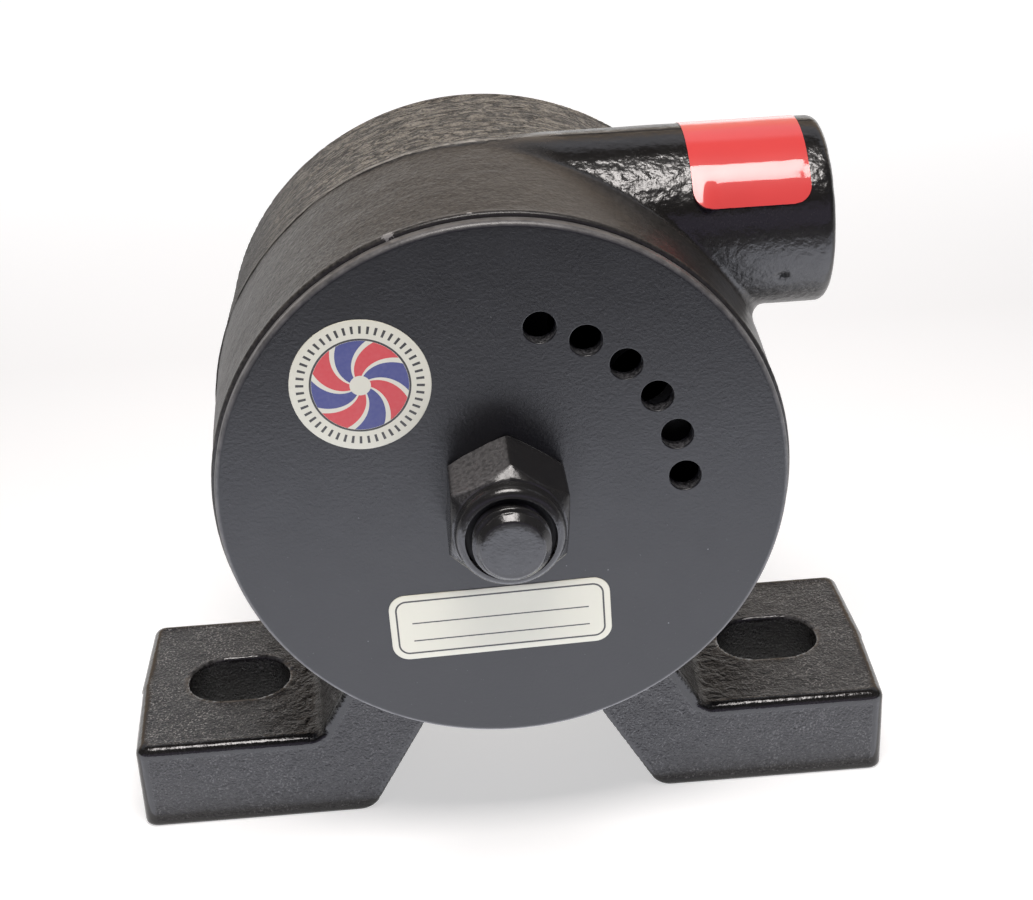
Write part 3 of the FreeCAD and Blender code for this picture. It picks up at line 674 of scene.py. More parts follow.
# ------------------------------------------------------------------- materials
class Mat:
    """Small helper around a node tree, in millimetres."""

    def __init__(self, name):
        self.mat = bpy.data.materials.new(name)
        self.mat.use_nodes = True
        self.nt = self.mat.node_tree
        self.nt.nodes.clear()
        out = self.nt.nodes.new("ShaderNodeOutputMaterial")
        self.bs = self.nt.nodes.new("ShaderNodeBsdfPrincipled")
        self.link(self.bs.outputs[0], out.inputs[0])
        tc = self.nt.nodes.new("ShaderNodeTexCoord")
        sc = self.nt.nodes.new("ShaderNodeVectorMath")
        sc.operation = "SCALE"
        sc.inputs["Scale"].default_value = 1000.0
        self.link(tc.outputs["Object"], sc.inputs[0])
        self.mm = sc.outputs[0]

    def link(self, a, b):
        self.nt.links.new(a, b)

    def put(self, value, socket):
        if hasattr(value, "is_linked") or hasattr(value, "links"):
            self.link(value, socket)
        else:
            socket.default_value = value

    def set(self, **kw):
        names = {"color": "Base Color", "rough": "Roughness", "metal": "Metallic", "spec": "Specular IOR Level",
                 "coat": "Coat Weight", "coat_rough": "Coat Roughness", "normal": "Normal", "ior": "IOR",
                 "coat_normal": "Coat Normal", "aniso": "Anisotropic"}
        for k, v in kw.items():
            if k == "color" and isinstance(v, tuple):
                v = (*v, 1.0)[:4]
            self.put(v, self.bs.inputs[names[k]])
        return self

    def math(self, op, a, b=0.0, c=None, clamp=False):
        n = self.nt.nodes.new("ShaderNodeMath")
        n.operation = op
        n.use_clamp = clamp
        self.put(a, n.inputs[0])
        self.put(b, n.inputs[1])
        if c is not None:
            self.put(c, n.inputs[2])
        return n.outputs[0]

    def scaled(self, sx, sy, sz, vec=None):
        n = self.nt.nodes.new("ShaderNodeVectorMath")
        n.operation = "MULTIPLY"
        self.link(vec or self.mm, n.inputs[0])
        n.inputs[1].default_value = (sx, sy, sz)
        return n.outputs[0]

    def shifted(self, x, y, z, vec=None):
        n = self.nt.nodes.new("ShaderNodeVectorMath")
        n.operation = "ADD"
        self.link(vec or self.mm, n.inputs[0])
        n.inputs[1].default_value = (x, y, z)
        return n.outputs[0]

    def noise(self, wave, detail=3.0, rough=0.5, vec=None, distort=0.0):
        n = self.nt.nodes.new("ShaderNodeTexNoise")
        self.link(vec or self.mm, n.inputs["Vector"])
        n.inputs["Scale"].default_value = 1.0 / wave
        n.inputs["Detail"].default_value = detail
        n.inputs["Roughness"].default_value = rough
        n.inputs["Distortion"].default_value = distort
        return n.outputs["Fac"]

    def cells(self, size, feature="F1", vec=None, out="Distance", random=1.0):
        n = self.nt.nodes.new("ShaderNodeTexVoronoi")
        n.feature = feature
        self.link(vec or self.mm, n.inputs["Vector"])
        n.inputs["Scale"].default_value = 1.0 / size
        n.inputs["Randomness"].default_value = random
        return n.outputs[out]

    def ramp(self, fac, *stops, mode="LINEAR"):
        n = self.nt.nodes.new("ShaderNodeValToRGB")
        n.color_ramp.interpolation = mode
        els = n.color_ramp.elements
        while len(els) > 1:
            els.remove(els[-1])
        for i, (pos, col) in enumerate(stops):
            e = els[0] if i == 0 else els.new(pos)
            e.position = pos
            e.color = (col, col, col, 1) if not isinstance(col, tuple) else (*col, 1)
        self.link(fac, n.inputs[0])
        return n.outputs["Color"]

    def range(self, v, a, b, c, d):
        n = self.nt.nodes.new("ShaderNodeMapRange")
        self.link(v, n.inputs["Value"])
        for k, x in (("From Min", a), ("From Max", b), ("To Min", c), ("To Max", d)):
            n.inputs[k].default_value = x
        return n.outputs["Result"]

    def mix(self, fac, a, b, blend="MIX"):
        n = self.nt.nodes.new("ShaderNodeMix")
        n.data_type = "RGBA"
        n.blend_type = blend
        self.put(fac, n.inputs[0])
        for v, s in ((a, n.inputs[6]), (b, n.inputs[7])):
            if isinstance(v, tuple):
                v = (*v, 1.0)[:4]
            self.put(v, s)
        return n.outputs[2]

    def attr(self, name):
        n = self.nt.nodes.new("ShaderNodeAttribute")
        n.attribute_name = name
        return n.outputs["Fac"]

    def bump(self, height, dist_mm, strength=1.0, normal=None):
        n = self.nt.nodes.new("ShaderNodeBump")
        self.put(strength, n.inputs["Strength"])
        n.inputs["Distance"].default_value = dist_mm * MM
        self.link(height, n.inputs["Height"])
        if normal is not None:
            self.link(normal, n.inputs["Normal"])
        return n.outputs[0]

    def scrape(self, at, size):
        """Broken mark of bare or dusty paint about a point."""
        x, y, z = self.xyz(self.shifted(-at[0], -at[1], -at[2]))
        d = self.math("ADD", self.math("MULTIPLY", x, x), self.math("ADD", self.math("MULTIPLY", y, y), self.math("MULTIPLY", z, z)))
        reach = self.range(self.math("SQRT", d), 0.35 * size, size, 1.0, 0.0)
        grit = self.noise(0.34, 3, 0.6)
        return self.range(self.math("ADD", self.math("MULTIPLY", reach, 0.55), grit), 0.82, 0.92, 0.0, 1.0)

    def up(self):
        """How far the surface faces up, from -1 to 1."""
        g = self.nt.nodes.new("ShaderNodeNewGeometry")
        s = self.nt.nodes.new("ShaderNodeSeparateXYZ")
        self.link(g.outputs["Normal"], s.inputs[0])
        return s.outputs["Z"]

    def xyz(self, vec=None):
        s = self.nt.nodes.new("ShaderNodeSeparateXYZ")
        self.link(vec or self.mm, s.inputs[0])
        return s.outputs["X"], s.outputs["Y"], s.outputs["Z"]


def cast_paint():
    m = Mat("cast_black_paint")
    names = ("coarse", "glossy", "rear", "off", "line", "feet", "bare", "hammered", "folds", "slot_rim_highlight", "shell", "film")
    coarse, glossy, rear, off, line, feet, bare, hammered, folds, slot_rim_highlight, shell, film = (m.attr(k) for k in names)
    lip = m.math("MULTIPLY", m.math("MULTIPLY", m.range(off, -0.05, 0.12, 0, 1), m.range(off, 1.7, 0.7, 0, 1)), line)
    seam_shade = m.math("MULTIPLY", m.math("MULTIPLY", m.range(off, -0.60, -0.30, 0, 1), m.range(off, 0.02, -0.12, 0, 1)), line)
    up = m.range(m.up(), 0.55, 0.92, 0.0, 1.0)
    sand = m.noise(0.46, 2, 0.6)
    grain = m.noise(1.0, 3, 0.6)
    # ripples lie round the drum on its top and die out down its sides
    ripple = m.noise(2.1, 3, 0.55, m.scaled(0.42, 1.0, 0.42), 0.9)
    ridge = m.math("ABSOLUTE", m.math("SUBTRACT", ripple, 0.5))
    peel = m.noise(1.45, 2, 0.45)
    cloud = m.noise(14.0, 3, 0.55)
    tone = m.mix(cloud, (0.0090, 0.0088, 0.0088), (0.0165, 0.0154, 0.0144))
    # painted light: up-facing foot tops get a cooler, slightly lighter tint that offsets the warm reflection they
    # catch
    tone = m.mix(m.math("MULTIPLY", feet, up), tone, (0.0100, 0.0138, 0.0185))
    # the rougher rear half gets lighter streaks along its ripples, stronger where it faces up: mostly painted sheen
    # and shade of the ripple relief, with a little dust
    ripple_sheen_and_dust = m.math("MULTIPLY", m.ramp(sand, (0.30, 0.0), (0.56, 1.0)), m.ramp(ridge, (0.012, 0.04), (0.085, 1.0)))
    dust = m.mix(up, (0.058, 0.053, 0.047), (0.285, 0.258, 0.214))
    tone = m.mix(m.math("MULTIPLY", rear, m.math("MULTIPLY_ADD", ripple_sheen_and_dust, 0.95, 0.03)), tone, dust)
    veil = m.math("MULTIPLY", film, m.ramp(m.noise(0.62, 3, 0.6), (0.34, 0.0), (0.66, 1.0)))
    tone = m.mix(veil, tone, (0.088, 0.081, 0.073))
    # tiny light grains on the high points: partly bare or dusty paint, partly painted glints of the lamp, stronger
    # where the surface faces up
    dots = m.ramp(m.noise(0.40, 2, 0.5), (0.56, 0.0), (0.64, 1.0))
    worn = m.math("MULTIPLY", dots, m.math("MULTIPLY_ADD", feet, 0.85, m.math("MULTIPLY_ADD", coarse, 0.12, 0.03)))
    worn = m.math("MULTIPLY", worn, m.range(m.up(), 0.0, 0.9, 0.21, 1.0))
    worn = m.math("MULTIPLY", worn, m.ramp(m.noise(6.0, 3, 0.6), (0.36, 0.30), (0.62, 1.0)))
    tone = m.mix(worn, tone, (0.31, 0.302, 0.295))
    # painted highlight: a light band round the rims of the foot slots, standing in for the light line their edges
    # catch
    tone = m.mix(m.math("MULTIPLY", slot_rim_highlight, m.ramp(m.noise(1.3, 3, 0.6), (0.38, 0.15), (0.58, 0.9))), tone, (0.105, 0.102, 0.100))
    # painted light on the parting line: a light painted highlight along the lip of the rear half, stronger where it
    # faces up, and a painted dark shade line just in front of it
    lip = m.math("MULTIPLY", lip, m.math("MULTIPLY", m.math("MULTIPLY_ADD", up, 0.70, 0.20), m.ramp(m.noise(1.6, 3, 0.6), (0.34, 0.3), (0.56, 1.0))))
    tone = m.mix(lip, tone, (0.42, 0.40, 0.365))
    tone = m.mix(m.math("MULTIPLY", seam_shade, 0.9), tone, (0.003, 0.003, 0.003))
    # a scrape on the front edge of the drum
    tone = m.mix(m.scrape((-15.9, -30.9, 116.3), 1.6), tone, (0.22, 0.215, 0.21))
    tone = m.mix(m.scrape((-3.1, -30.8, 118.9), 0.7), tone, (0.24, 0.235, 0.23))
    # the pit in the boss paint: painted shade darkens its hollow, and its reflection is cut
    x, y, z = m.xyz(m.shifted(-49.4, 14.66, -(BOSS_Z - 6.4)))
    away = m.math("SQRT", m.math("ADD", m.math("MULTIPLY", x, x), m.math("ADD", m.math("MULTIPLY", y, y), m.math("MULTIPLY", z, z))))
    pit = m.math("MULTIPLY", m.range(away, 0.65, 1.15, 1.0, 0.0), m.ramp(m.noise(0.8, 2, 0.5), (0.40, 0.0), (0.48, 1.0)))
    tone = m.mix(pit, tone, (0.0012, 0.0012, 0.0013))
    iron = m.mix(m.noise(1.6, 3, 0.6), (0.13, 0.125, 0.12), (0.24, 0.235, 0.23))
    m.set(color=m.mix(bare, tone, iron), metal=m.math("MULTIPLY", bare, 0.8))
    ro = m.math("MULTIPLY_ADD", m.noise(2.6, 3, 0.6), 0.16, 0.21)
    ro = m.math("ADD", ro, m.math("MULTIPLY_ADD", rear, 0.17, m.math("MULTIPLY", coarse, 0.05)))
    ro = m.math("SUBTRACT", ro, m.math("MULTIPLY", glossy, 0.19), clamp=True)
    ro = m.math("MULTIPLY_ADD", shell, 0.05, m.math("MULTIPLY_ADD", hammered, 0.17, ro))
    m.set(rough=ro, spec=m.math("MULTIPLY_ADD", pit, -0.46, m.math("MULTIPLY_ADD", folds, -0.22, m.math("MULTIPLY_ADD", shell, -0.20, m.math("MULTIPLY_ADD", hammered, 0.20, 0.5)))))
    n1 = m.bump(grain, 0.60, m.math("MULTIPLY_ADD", coarse, 0.50, 0.05))
    n2 = m.bump(sand, 0.50, m.math("MULTIPLY_ADD", feet, 0.72, m.math("MULTIPLY_ADD", rear, 0.72, 0.04)), n1)
    n3 = m.bump(ridge, 3.6, m.math("MULTIPLY", rear, m.math("MULTIPLY_ADD", up, 0.95, 0.14)), n2)
    n4 = m.bump(peel, 0.62, m.math("MULTIPLY_ADD", hammered, 0.42, m.math("MULTIPLY_ADD", glossy, 0.05, 0.03)), n3)
    n5 = m.bump(m.range(off, -0.35, 0.10, 0, 1), 0.45, line, n4)
    n6 = m.bump(m.noise(2.6, 3, 0.55, None, 0.6), 1.6, m.math("MULTIPLY", folds, 0.42), n5)
    m.set(normal=n6)
    return m.mat


def plate_paint():
    m = Mat("cover_paint")
    cloud = m.noise(22.0, 3, 0.5)
    tone = m.mix(cloud, (0.0060, 0.0062, 0.0072), (0.0085, 0.0088, 0.0100))
    speck = m.cells(3.4)
    pick = m.cells(3.4, out="Color")
    sep = m.nt.nodes.new("ShaderNodeSeparateColor")
    m.link(pick, sep.inputs[0])
    size = m.range(sep.outputs[0], 0.55, 1.0, 0.0, 0.048)
    dot = m.math("LESS_THAN", speck, size)
    lint = m.ramp(m.noise(0.5, 2, 0.5), (0.74, 0.0), (0.80, 1.0))
    dust = m.math("MAXIMUM", m.math("MULTIPLY", dot, 0.35), m.math("MULTIPLY", lint, 0.12))
    tone = m.mix(dust, tone, (0.30, 0.30, 0.31))
    tone = m.mix(m.scrape((-14.9, -32.6, 115.95), 1.3), tone, (0.22, 0.215, 0.21))
    x, y, z = m.xyz(m.shifted(0, 0, -AXIS_Z))
    rad = m.math("SQRT", m.math("ADD", m.math("MULTIPLY", x, x), m.math("MULTIPLY", z, z)))
    # the rounded rim is lighter: partly paint worn thin, partly a painted highlight of the rim
    rim = m.math("MULTIPLY", m.range(rad, COVER_R - 0.80, COVER_R - 0.35, 0.0, 1.0), m.ramp(m.noise(2.0, 3, 0.6), (0.30, 0.45), (0.60, 1.0)))
    tone = m.mix(rim, tone, (0.115, 0.112, 0.110))
    wall = m.math("MULTIPLY", m.range(m.math("ABSOLUTE", y), FACE_Y - 0.12, FACE_Y - 0.40, 0.0, 1.0), m.math("LESS_THAN", rad, 40.0))
    grit = m.noise(0.55, 3, 0.6)
    tone = m.mix(m.math("MULTIPLY", wall, m.ramp(grit, (0.40, 0.10), (0.60, 1.0))), tone, (0.088, 0.088, 0.092))
    m.set(color=tone, spec=0.5)
    ro = m.math("MULTIPLY_ADD", m.noise(6.0, 4, 0.6), 0.10, 0.30)
    m.set(rough=m.math("MULTIPLY_ADD", rim, 0.06, ro))
    n1 = m.bump(m.noise(2.4, 2, 0.5), 0.20, 0.07)
    n2 = m.bump(m.noise(0.50, 2, 0.5), 0.12, 0.30, n1)
    n3 = m.bump(grit, 0.30, m.math("MULTIPLY", wall, 0.8), n2)
    m.set(normal=n3)
    return m.mat


def gloss_hardware():
    m = Mat("hardware_black")
    tone = m.mix(m.noise(5.0, 3, 0.6), (0.012, 0.012, 0.0124), (0.021, 0.0203, 0.020))
    fleck = m.ramp(m.noise(0.4, 2, 0.5), (0.66, 0.0), (0.74, 1.0))
    tone = m.mix(m.math("MULTIPLY", fleck, 0.3), tone, (0.09, 0.085, 0.08))
    # painted light: the lighter flat of the front nut stands in for the reflection it catches
    lit_flat_paint = m.math("MULTIPLY", m.attr("lit_flat_paint"), m.ramp(m.noise(0.62, 3, 0.6), (0.32, 0.35), (0.60, 1.0)))
    tone = m.mix(lit_flat_paint, tone, (0.102, 0.100, 0.100))
    m.set(color=tone, spec=0.5)
    ro = m.math("MULTIPLY_ADD", m.noise(2.2, 3, 0.6), 0.18, 0.12)
    m.set(rough=m.math("MULTIPLY_ADD", lit_flat_paint, 0.30, ro))
    n1 = m.bump(m.noise(1.8, 2, 0.5), 0.22, 0.11)
    n2 = m.bump(m.noise(0.55, 2, 0.5), 0.14, 0.22, n1)
    m.set(normal=n2)
    return m.mat


def nylon_in_shade():
    m = Mat("insert_nylon")
    # near black: the insert's own dark colour, darkened further as painted shade in the gap round the stud
    m.set(color=m.mix(m.noise(1.2, 3), (0.002, 0.002, 0.0022), (0.006, 0.006, 0.0065)))
    m.set(rough=m.math("MULTIPLY_ADD", m.noise(0.8, 3), 0.2, 0.55), spec=0.25)
    m.set(normal=m.bump(m.noise(0.6, 2), 0.05, 0.3))
    return m.mat


def rubber():
    m = Mat("seal_rubber")
    m.set(color=m.mix(m.noise(2.0, 3), (0.012, 0.012, 0.012), (0.024, 0.024, 0.023)))
    m.set(rough=m.math("MULTIPLY_ADD", m.noise(0.9, 3), 0.2, 0.55))
    m.set(normal=m.bump(m.noise(0.4, 3), 0.03, 0.4))
    return m.mat


def turned_metal(name, a, b, ro, wave=0.35):
    """Machined metal with tool rings about the drum axis."""
    m = Mat(name)
    x, y, z = m.xyz(m.shifted(0, 0, -AXIS_Z))
    rad = m.math("SQRT", m.math("ADD", m.math("MULTIPLY", x, x), m.math("MULTIPLY", z, z)))
    comb = m.nt.nodes.new("ShaderNodeCombineXYZ")
    m.link(rad, comb.inputs[0])
    m.link(y, comb.inputs[1])
    rings = m.noise(wave, 3, 0.6, comb.outputs[0])
    cloud = m.noise(4.0, 3, 0.6)
    m.set(color=m.mix(m.math("MULTIPLY_ADD", rings, 0.5, m.math("MULTIPLY", cloud, 0.5)), a, b), metal=1.0)
    m.set(rough=m.math("MULTIPLY_ADD", rings, 0.22, ro))
    m.set(normal=m.bump(rings, 0.02, 0.35))
    return m.mat


def shade_black_aluminium():
    """Turned aluminium with tool rings, coloured near black as painted shade for the dark inside seen through the
    exhaust holes.
    """
    m = Mat("wheel_aluminium")
    x, y, z = m.xyz(m.shifted(0, 0, -AXIS_Z))
    rad = m.math("SQRT", m.math("ADD", m.math("MULTIPLY", x, x), m.math("MULTIPLY", z, z)))
    comb = m.nt.nodes.new("ShaderNodeCombineXYZ")
    m.link(rad, comb.inputs[0])
    m.link(y, comb.inputs[1])
    rings = m.noise(0.32, 3, 0.6, comb.outputs[0])
    m.set(color=m.mix(m.noise(5.0, 3, 0.6), (0.007, 0.007, 0.0075), (0.014, 0.014, 0.015)), spec=0.2)
    m.set(rough=m.math("MULTIPLY_ADD", rings, 0.22, 0.34))
    m.set(normal=m.bump(rings, 0.02, 0.35))
    return m.mat


def polished(name, a, b, ro):
    m = Mat(name)
    cloud = m.noise(2.0, 4, 0.6)
    m.set(color=m.mix(cloud, a, b), metal=1.0, rough=m.math("MULTIPLY_ADD", cloud, 0.1, ro))
    m.set(normal=m.bump(m.noise(0.3, 3), 0.01, 0.2))
    return m.mat


CREAM = (0.62, 0.61, 0.50)
INK = (0.018, 0.018, 0.02)


def paper_finish(m, tone):
    grain = m.noise(0.6, 3, 0.5)
    tone = m.mix(m.math("MULTIPLY", grain, 0.10), tone, (0.50, 0.48, 0.40))
    m.set(color=tone, spec=0.5)
    m.set(rough=m.math("MULTIPLY_ADD", m.noise(2.5, 3), 0.12, 0.38))
    m.set(normal=m.bump(m.noise(3.0, 2), 0.03, 0.25))


def round_art():
    """Cream disc, dial ticks and a plain three-colour turbine swirl."""
    m = Mat("round_label_print")
    cx, cz, rr = -22.0, AXIS_Z + 21.35, 11.3
    x, y, z = m.xyz(m.shifted(-cx, 0, -cz))
    r = m.math("SQRT", m.math("ADD", m.math("MULTIPLY", x, x), m.math("MULTIPLY", z, z)))
    ang = m.math("DIVIDE", m.math("ARCTAN2", z, x), 2 * math.pi)
    swirl = m.math("FRACT", m.math("MULTIPLY", m.math("ADD", m.math("ADD", ang, m.math("MULTIPLY", r, 0.020)), 1.0), 4.0))
    blade = m.ramp(swirl, (0.0, (0.55, 0.035, 0.045)), (0.40, CREAM), (0.50, (0.035, 0.045, 0.20)), (0.90, CREAM), mode="CONSTANT")
    hub = m.math("LESS_THAN", r, 1.7)
    blade = m.mix(hub, blade, CREAM)
    inside = m.math("LESS_THAN", r, 7.75)
    tone = m.mix(inside, CREAM, blade)
    ring = m.math("LESS_THAN", m.math("ABSOLUTE", m.math("SUBTRACT", r, 7.95)), 0.17)
    tone = m.mix(ring, tone, INK)
    tick = m.math("FRACT", m.math("MULTIPLY", m.math("ADD", ang, 1.0), 48.0))
    thin = m.math("LESS_THAN", m.math("ABSOLUTE", m.math("SUBTRACT", tick, 0.5)), 0.17)
    band = m.math("MULTIPLY", m.math("GREATER_THAN", r, 8.95), m.math("LESS_THAN", r, 10.25))
    tone = m.mix(m.math("MULTIPLY", thin, band), tone, INK)
    paper_finish(m, tone)
    return m.mat


def info_art():
    """Blank cream sticker with a ruled frame and two write-in lines."""
    m = Mat("info_label_print")
    t = math.radians(-1.5)
    x, y, z = m.xyz(m.shifted(1.7, 0, -(AXIS_Z - 23.95)))
    u = m.math("SUBTRACT", m.math("MULTIPLY", x, math.cos(t)), m.math("MULTIPLY", z, math.sin(t)))
    v = m.math("ADD", m.math("MULTIPLY", x, math.sin(t)), m.math("MULTIPLY", z, math.cos(t)))
    au, av = m.math("ABSOLUTE", u), m.math("ABSOLUTE", v)
    # rounded frame line, 1.2 mm inside the edge
    qx = m.math("MAXIMUM", m.math("SUBTRACT", au, 17.55 - 1.8), 0.0)
    qz = m.math("MAXIMUM", m.math("SUBTRACT", av, 5.1 - 1.8), 0.0)
    d = m.math("SUBTRACT", m.math("SQRT", m.math("ADD", m.math("MULTIPLY", qx, qx), m.math("MULTIPLY", qz, qz))), 1.8)
    frame_line = m.math("MULTIPLY", m.math("LESS_THAN", m.math("ABSOLUTE", d), 0.16),
                        m.math("MAXIMUM", m.math("GREATER_THAN", au, 17.55 - 1.81), m.math("GREATER_THAN", av, 5.1 - 1.81)))
    one = m.math("MULTIPLY", m.math("LESS_THAN", m.math("ABSOLUTE", m.math("SUBTRACT", v, 0.75)), 0.12), m.math("LESS_THAN", au, 15.0))
    two = m.math("MULTIPLY", m.math("LESS_THAN", m.math("ABSOLUTE", m.math("ADD", v, 2.7)), 0.12), m.math("LESS_THAN", au, 15.0))
    ink = m.math("MAXIMUM", frame_line, m.math("MAXIMUM", one, two))
    paper_finish(m, m.mix(ink, CREAM, INK))
    return m.mat


def red_vinyl():
    m = Mat("label_red")
    m.set(color=m.mix(m.noise(7.0, 3), (0.68, 0.066, 0.064), (0.74, 0.076, 0.072)), spec=0.15)
    m.set(rough=m.math("MULTIPLY_ADD", m.noise(3.0, 3), 0.10, 0.30), coat=1.0, coat_rough=0.04)
    m.set(normal=m.bump(m.noise(2.6, 2), 0.04, 0.18))
    return m.mat


# ------------------------------------------------------------------- build all
MATS = {
    "cast_black_paint": cast_paint(),
    "cover_paint": plate_paint(),
    "hardware_black": gloss_hardware(),
    "insert_nylon": nylon_in_shade(),
    "seal_rubber": rubber(),
    "wheel_aluminium": shade_black_aluminium(),
    "slug_steel": turned_metal("slug_steel", (0.36, 0.36, 0.37), (0.52, 0.52, 0.53), 0.26),
    "spring_steel": turned_metal("spring_steel", (0.12, 0.12, 0.13), (0.20, 0.20, 0.21), 0.34),
    "bearing_steel": turned_metal("bearing_steel", (0.54, 0.54, 0.55), (0.66, 0.66, 0.67), 0.16, 0.18),
    "ball_steel": polished("ball_steel", (0.68, 0.68, 0.69), (0.76, 0.76, 0.77), 0.05),
    "cage_brass": polished("cage_brass", (0.62, 0.44, 0.18), (0.78, 0.60, 0.28), 0.24),
    "round": round_art(),
    "info": info_art(),
    "label_red": red_vinyl(),
}
SLOT_OF = {s["node"]: s["material_slot"] for s in frame["record"]["subparts"]}


def dress(ob, key, node):
    ob.data.materials.clear()
    ob.data.materials.append(MATS[key])
    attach(ob, "stator")
    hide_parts(node)
    return ob


dress(make_housing(), "cast_black_paint", "housing")
dress(make_cover(True), "cover_paint", "front_cover")
dress(make_cover(False), "cover_paint", "rear_cover")
dress(make_stud(), "hardware_black", "center_stud")
dress(make_nut("front_nut", -4.0, -1), "hardware_black", "front_lock_nut")
dress(make_nut("rear_nut", -4.0, 1), "hardware_black", "rear_lock_nut")
dress(make_insert("front_insert", -1), "insert_nylon", "front_lock_nut_insert")
dress(make_insert("rear_insert", 1), "insert_nylon", "rear_lock_nut_insert")
thread = make_inlet_thread()
thread.data.materials.append(MATS["slug_steel"])
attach(thread, "stator")
circle = [(11.3 * math.cos(2 * math.pi * i / 160), 11.3 * math.sin(2 * math.pi * i / 160)) for i in range(160)]
dress(make_flat_label("round_sticker", -22.0, 21.35, circle), "round", "round_label")
dress(make_flat_label("info_sticker", -1.7, -23.95, rounded_rect(37.5, 12.6, 2.9, 1.5)), "info", "info_label")
dress(make_wrap_label(), "label_red", "inlet_label")

for name, ob in nodes.items():
    if not ob.hide_render:
        ob.data.materials.clear()
        ob.data.materials.append(MATS[SLOT_OF[name]])

# ----------------------------------------------------------------------- stage
# white table, lit from inside up to a soft front edge and more so towards the back
TABLE_GLOW, TABLE_FAR = 0.54, 0.36
# levels of the surroundings and lights
BACK_LOW, BACK_MID, BACK_HIGH = (1.74, 1.72, 1.70), (0.72, 0.55, 0.40), (0.60, 0.61, 0.67)
SIDES, FRONT_LOW = (0.04, 0.04, 0.04), (0.31, 0.27, 0.42)
KEY = 2.65
CARD_A, CARD_B, CARD_C = 1.27, 1.42, 2.37
bpy.ops.mesh.primitive_plane_add(size=12.0, location=(0, 0, -0.00005))
floor = bpy.context.object
floor.name = "floor"
fm = Mat("floor_paper")
fm.set(color=fm.mix(fm.noise(60.0, 3), (0.59, 0.59, 0.59), (0.61, 0.61, 0.61)), rough=0.9, spec=0.1)
far = fm.range(fm.xyz()[1], 190.0, 420.0, 0.0, TABLE_FAR)
fm.link(fm.math("ADD", far, fm.range(fm.xyz()[1], -230.0, -170.0, 0.0, TABLE_GLOW)), fm.bs.inputs["Emission Strength"])
fm.bs.inputs["Emission Color"].default_value = (1.0, 1.0, 1.0, 1.0)
floor.data.materials.append(fm.mat)

world = bpy.data.worlds.new("studio")
bpy.context.scene.world = world
world.use_nodes = True
wt = world.node_tree
wt.nodes.clear()
w_out = wt.nodes.new("ShaderNodeOutputWorld")
w_tc = wt.nodes.new("ShaderNodeTexCoord")
w_sep = wt.nodes.new("ShaderNodeSeparateXYZ")
wt.links.new(w_tc.outputs["Generated"], w_sep.inputs[0])


def w_range(src, a0, a1):
    n = wt.nodes.new("ShaderNodeMapRange")
    n.interpolation_type = "SMOOTHSTEP"
    for k, x in (("From Min", a0), ("From Max", a1), ("To Min", 0.0), ("To Max", 1.0)):
        n.inputs[k].default_value = x
    wt.links.new(w_sep.outputs[src], n.inputs["Value"])
    return n.outputs["Result"]


def w_patch(color, *limits):
    """One soft patch of the surroundings, bounded by ranges of the direction."""
    acc = None
    for lim in limits:
        v = w_range(*lim)
        if acc is not None:
            n = wt.nodes.new("ShaderNodeMath")
            n.operation = "MULTIPLY"
            wt.links.new(acc, n.inputs[0])
            wt.links.new(v, n.inputs[1])
            v = n.outputs[0]
        acc = v
    bg = wt.nodes.new("ShaderNodeBackground")
    top = max(color)
    bg.inputs["Color"].default_value = (color[0] / top, color[1] / top, color[2] / top, 1)
    n = wt.nodes.new("ShaderNodeMath")
    n.operation = "MULTIPLY"
    wt.links.new(acc, n.inputs[0])
    n.inputs[1].default_value = top
    wt.links.new(n.outputs[0], bg.inputs["Strength"])
    return bg.outputs[0]


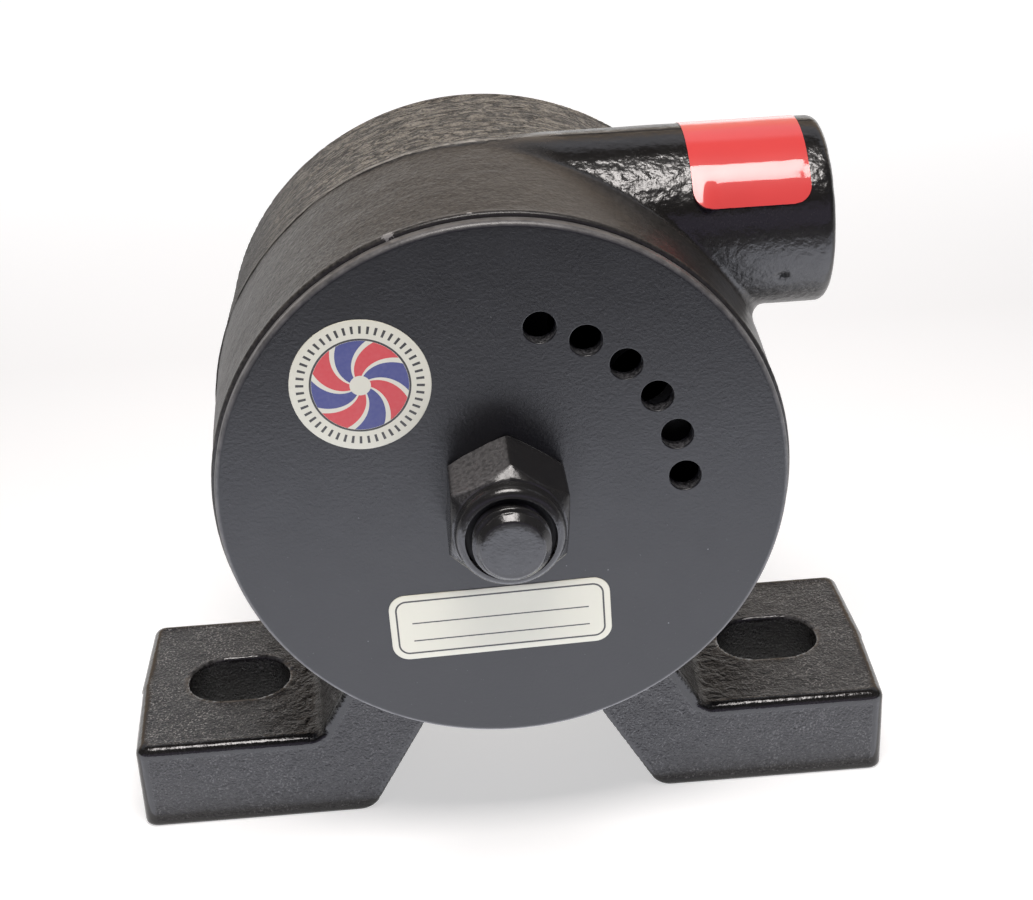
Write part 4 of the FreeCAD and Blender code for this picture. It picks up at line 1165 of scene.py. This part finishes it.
# bright paper low behind, a warm wall over it, a dim room in front
patches = [
    w_patch(BACK_LOW, ("Y", 0.1, 0.7), ("Z", 0.30, 0.15)),
    w_patch(BACK_MID, ("Y", 0.1, 0.6), ("Z", 0.15, 0.30), ("Z", 0.62, 0.48)),
    w_patch(BACK_HIGH, ("Y", 0.0, 0.3), ("Z", 0.48, 0.62), ("Z", 0.90, 0.80)),
    w_patch(SIDES, ("Z", 0.80, 0.45), ("Y", -0.6, -0.2), ("Y", 0.7, 0.2)),
    w_patch(FRONT_LOW, ("Y", -0.35, -0.75), ("Z", 0.50, 0.30)),
]
total = patches[0]
for p in patches[1:]:
    n = wt.nodes.new("ShaderNodeAddShader")
    wt.links.new(total, n.inputs[0])
    wt.links.new(p, n.inputs[1])
    total = n.outputs[0]
wt.links.new(total, w_out.inputs[0])


def area(name, loc, target, size_x, size_y, power, color=(1, 1, 1), spread=180):
    li = bpy.data.lights.new(name, "AREA")
    li.shape = "RECTANGLE"
    li.size, li.size_y = size_x, size_y
    li.energy = power
    li.color = color
    li.spread = math.radians(spread)
    ob = bpy.data.objects.new(name, li)
    ob.location = loc
    ob.rotation_mode = "QUATERNION"
    ob.rotation_quaternion = (Vector(target) - Vector(loc)).to_track_quat("-Z", "Y")
    bpy.context.scene.collection.objects.link(ob)
    return ob


def card(name, y0, y1, level, color=(0.915, 0.96, 1.125)):
    """Bounce card lying on the table in front of the part."""
    wide, deep = 0.64, abs(y1 - y0)
    return area(name, (0.0, (y0 + y1) / 2, 0.002), (0.0, (y0 + y1) / 2, 1.0), wide, deep, level * math.pi * wide * deep, color)


area("key", (0.005, -0.208, 0.658), (0.0, -0.02, 0.06), 0.34, 0.25, KEY * math.pi * 0.34 * 0.25, (1.04, 0.99, 0.965), 70)
card("card_a", -0.0225, -0.075, CARD_A)
card("card_b", -0.075, -0.140, CARD_B)
card("card_c", -0.140, -0.200, CARD_C)

# ---------------------------------------------------------------------- camera
cam_data = bpy.data.cameras.new("camera")
cam = bpy.data.objects.new("camera", cam_data)
bpy.context.scene.collection.objects.link(cam)
right = Vector((0.99621, -0.07597933, -0.04234131))
up = Vector((0.07227686, 0.45228015, 0.88894247))
ahead = Vector((0.04839112, 0.88863367, -0.45605756))
rot = Matrix((right, up, -ahead)).transposed()
cam.matrix_world = Matrix.Translation(Vector((-13.037, -315.553, 223.429)) * MM) @ rot.to_4x4()
cam_data.sensor_width = 36.0
cam_data.lens = 36.0 * 1952.057 / 1033.0
cam_data.clip_start, cam_data.clip_end = 0.01, 30.0
bpy.context.scene.camera = cam

bpy.context.scene.view_settings.view_transform = "Standard"
bpy.context.scene.view_settings.look = "None"
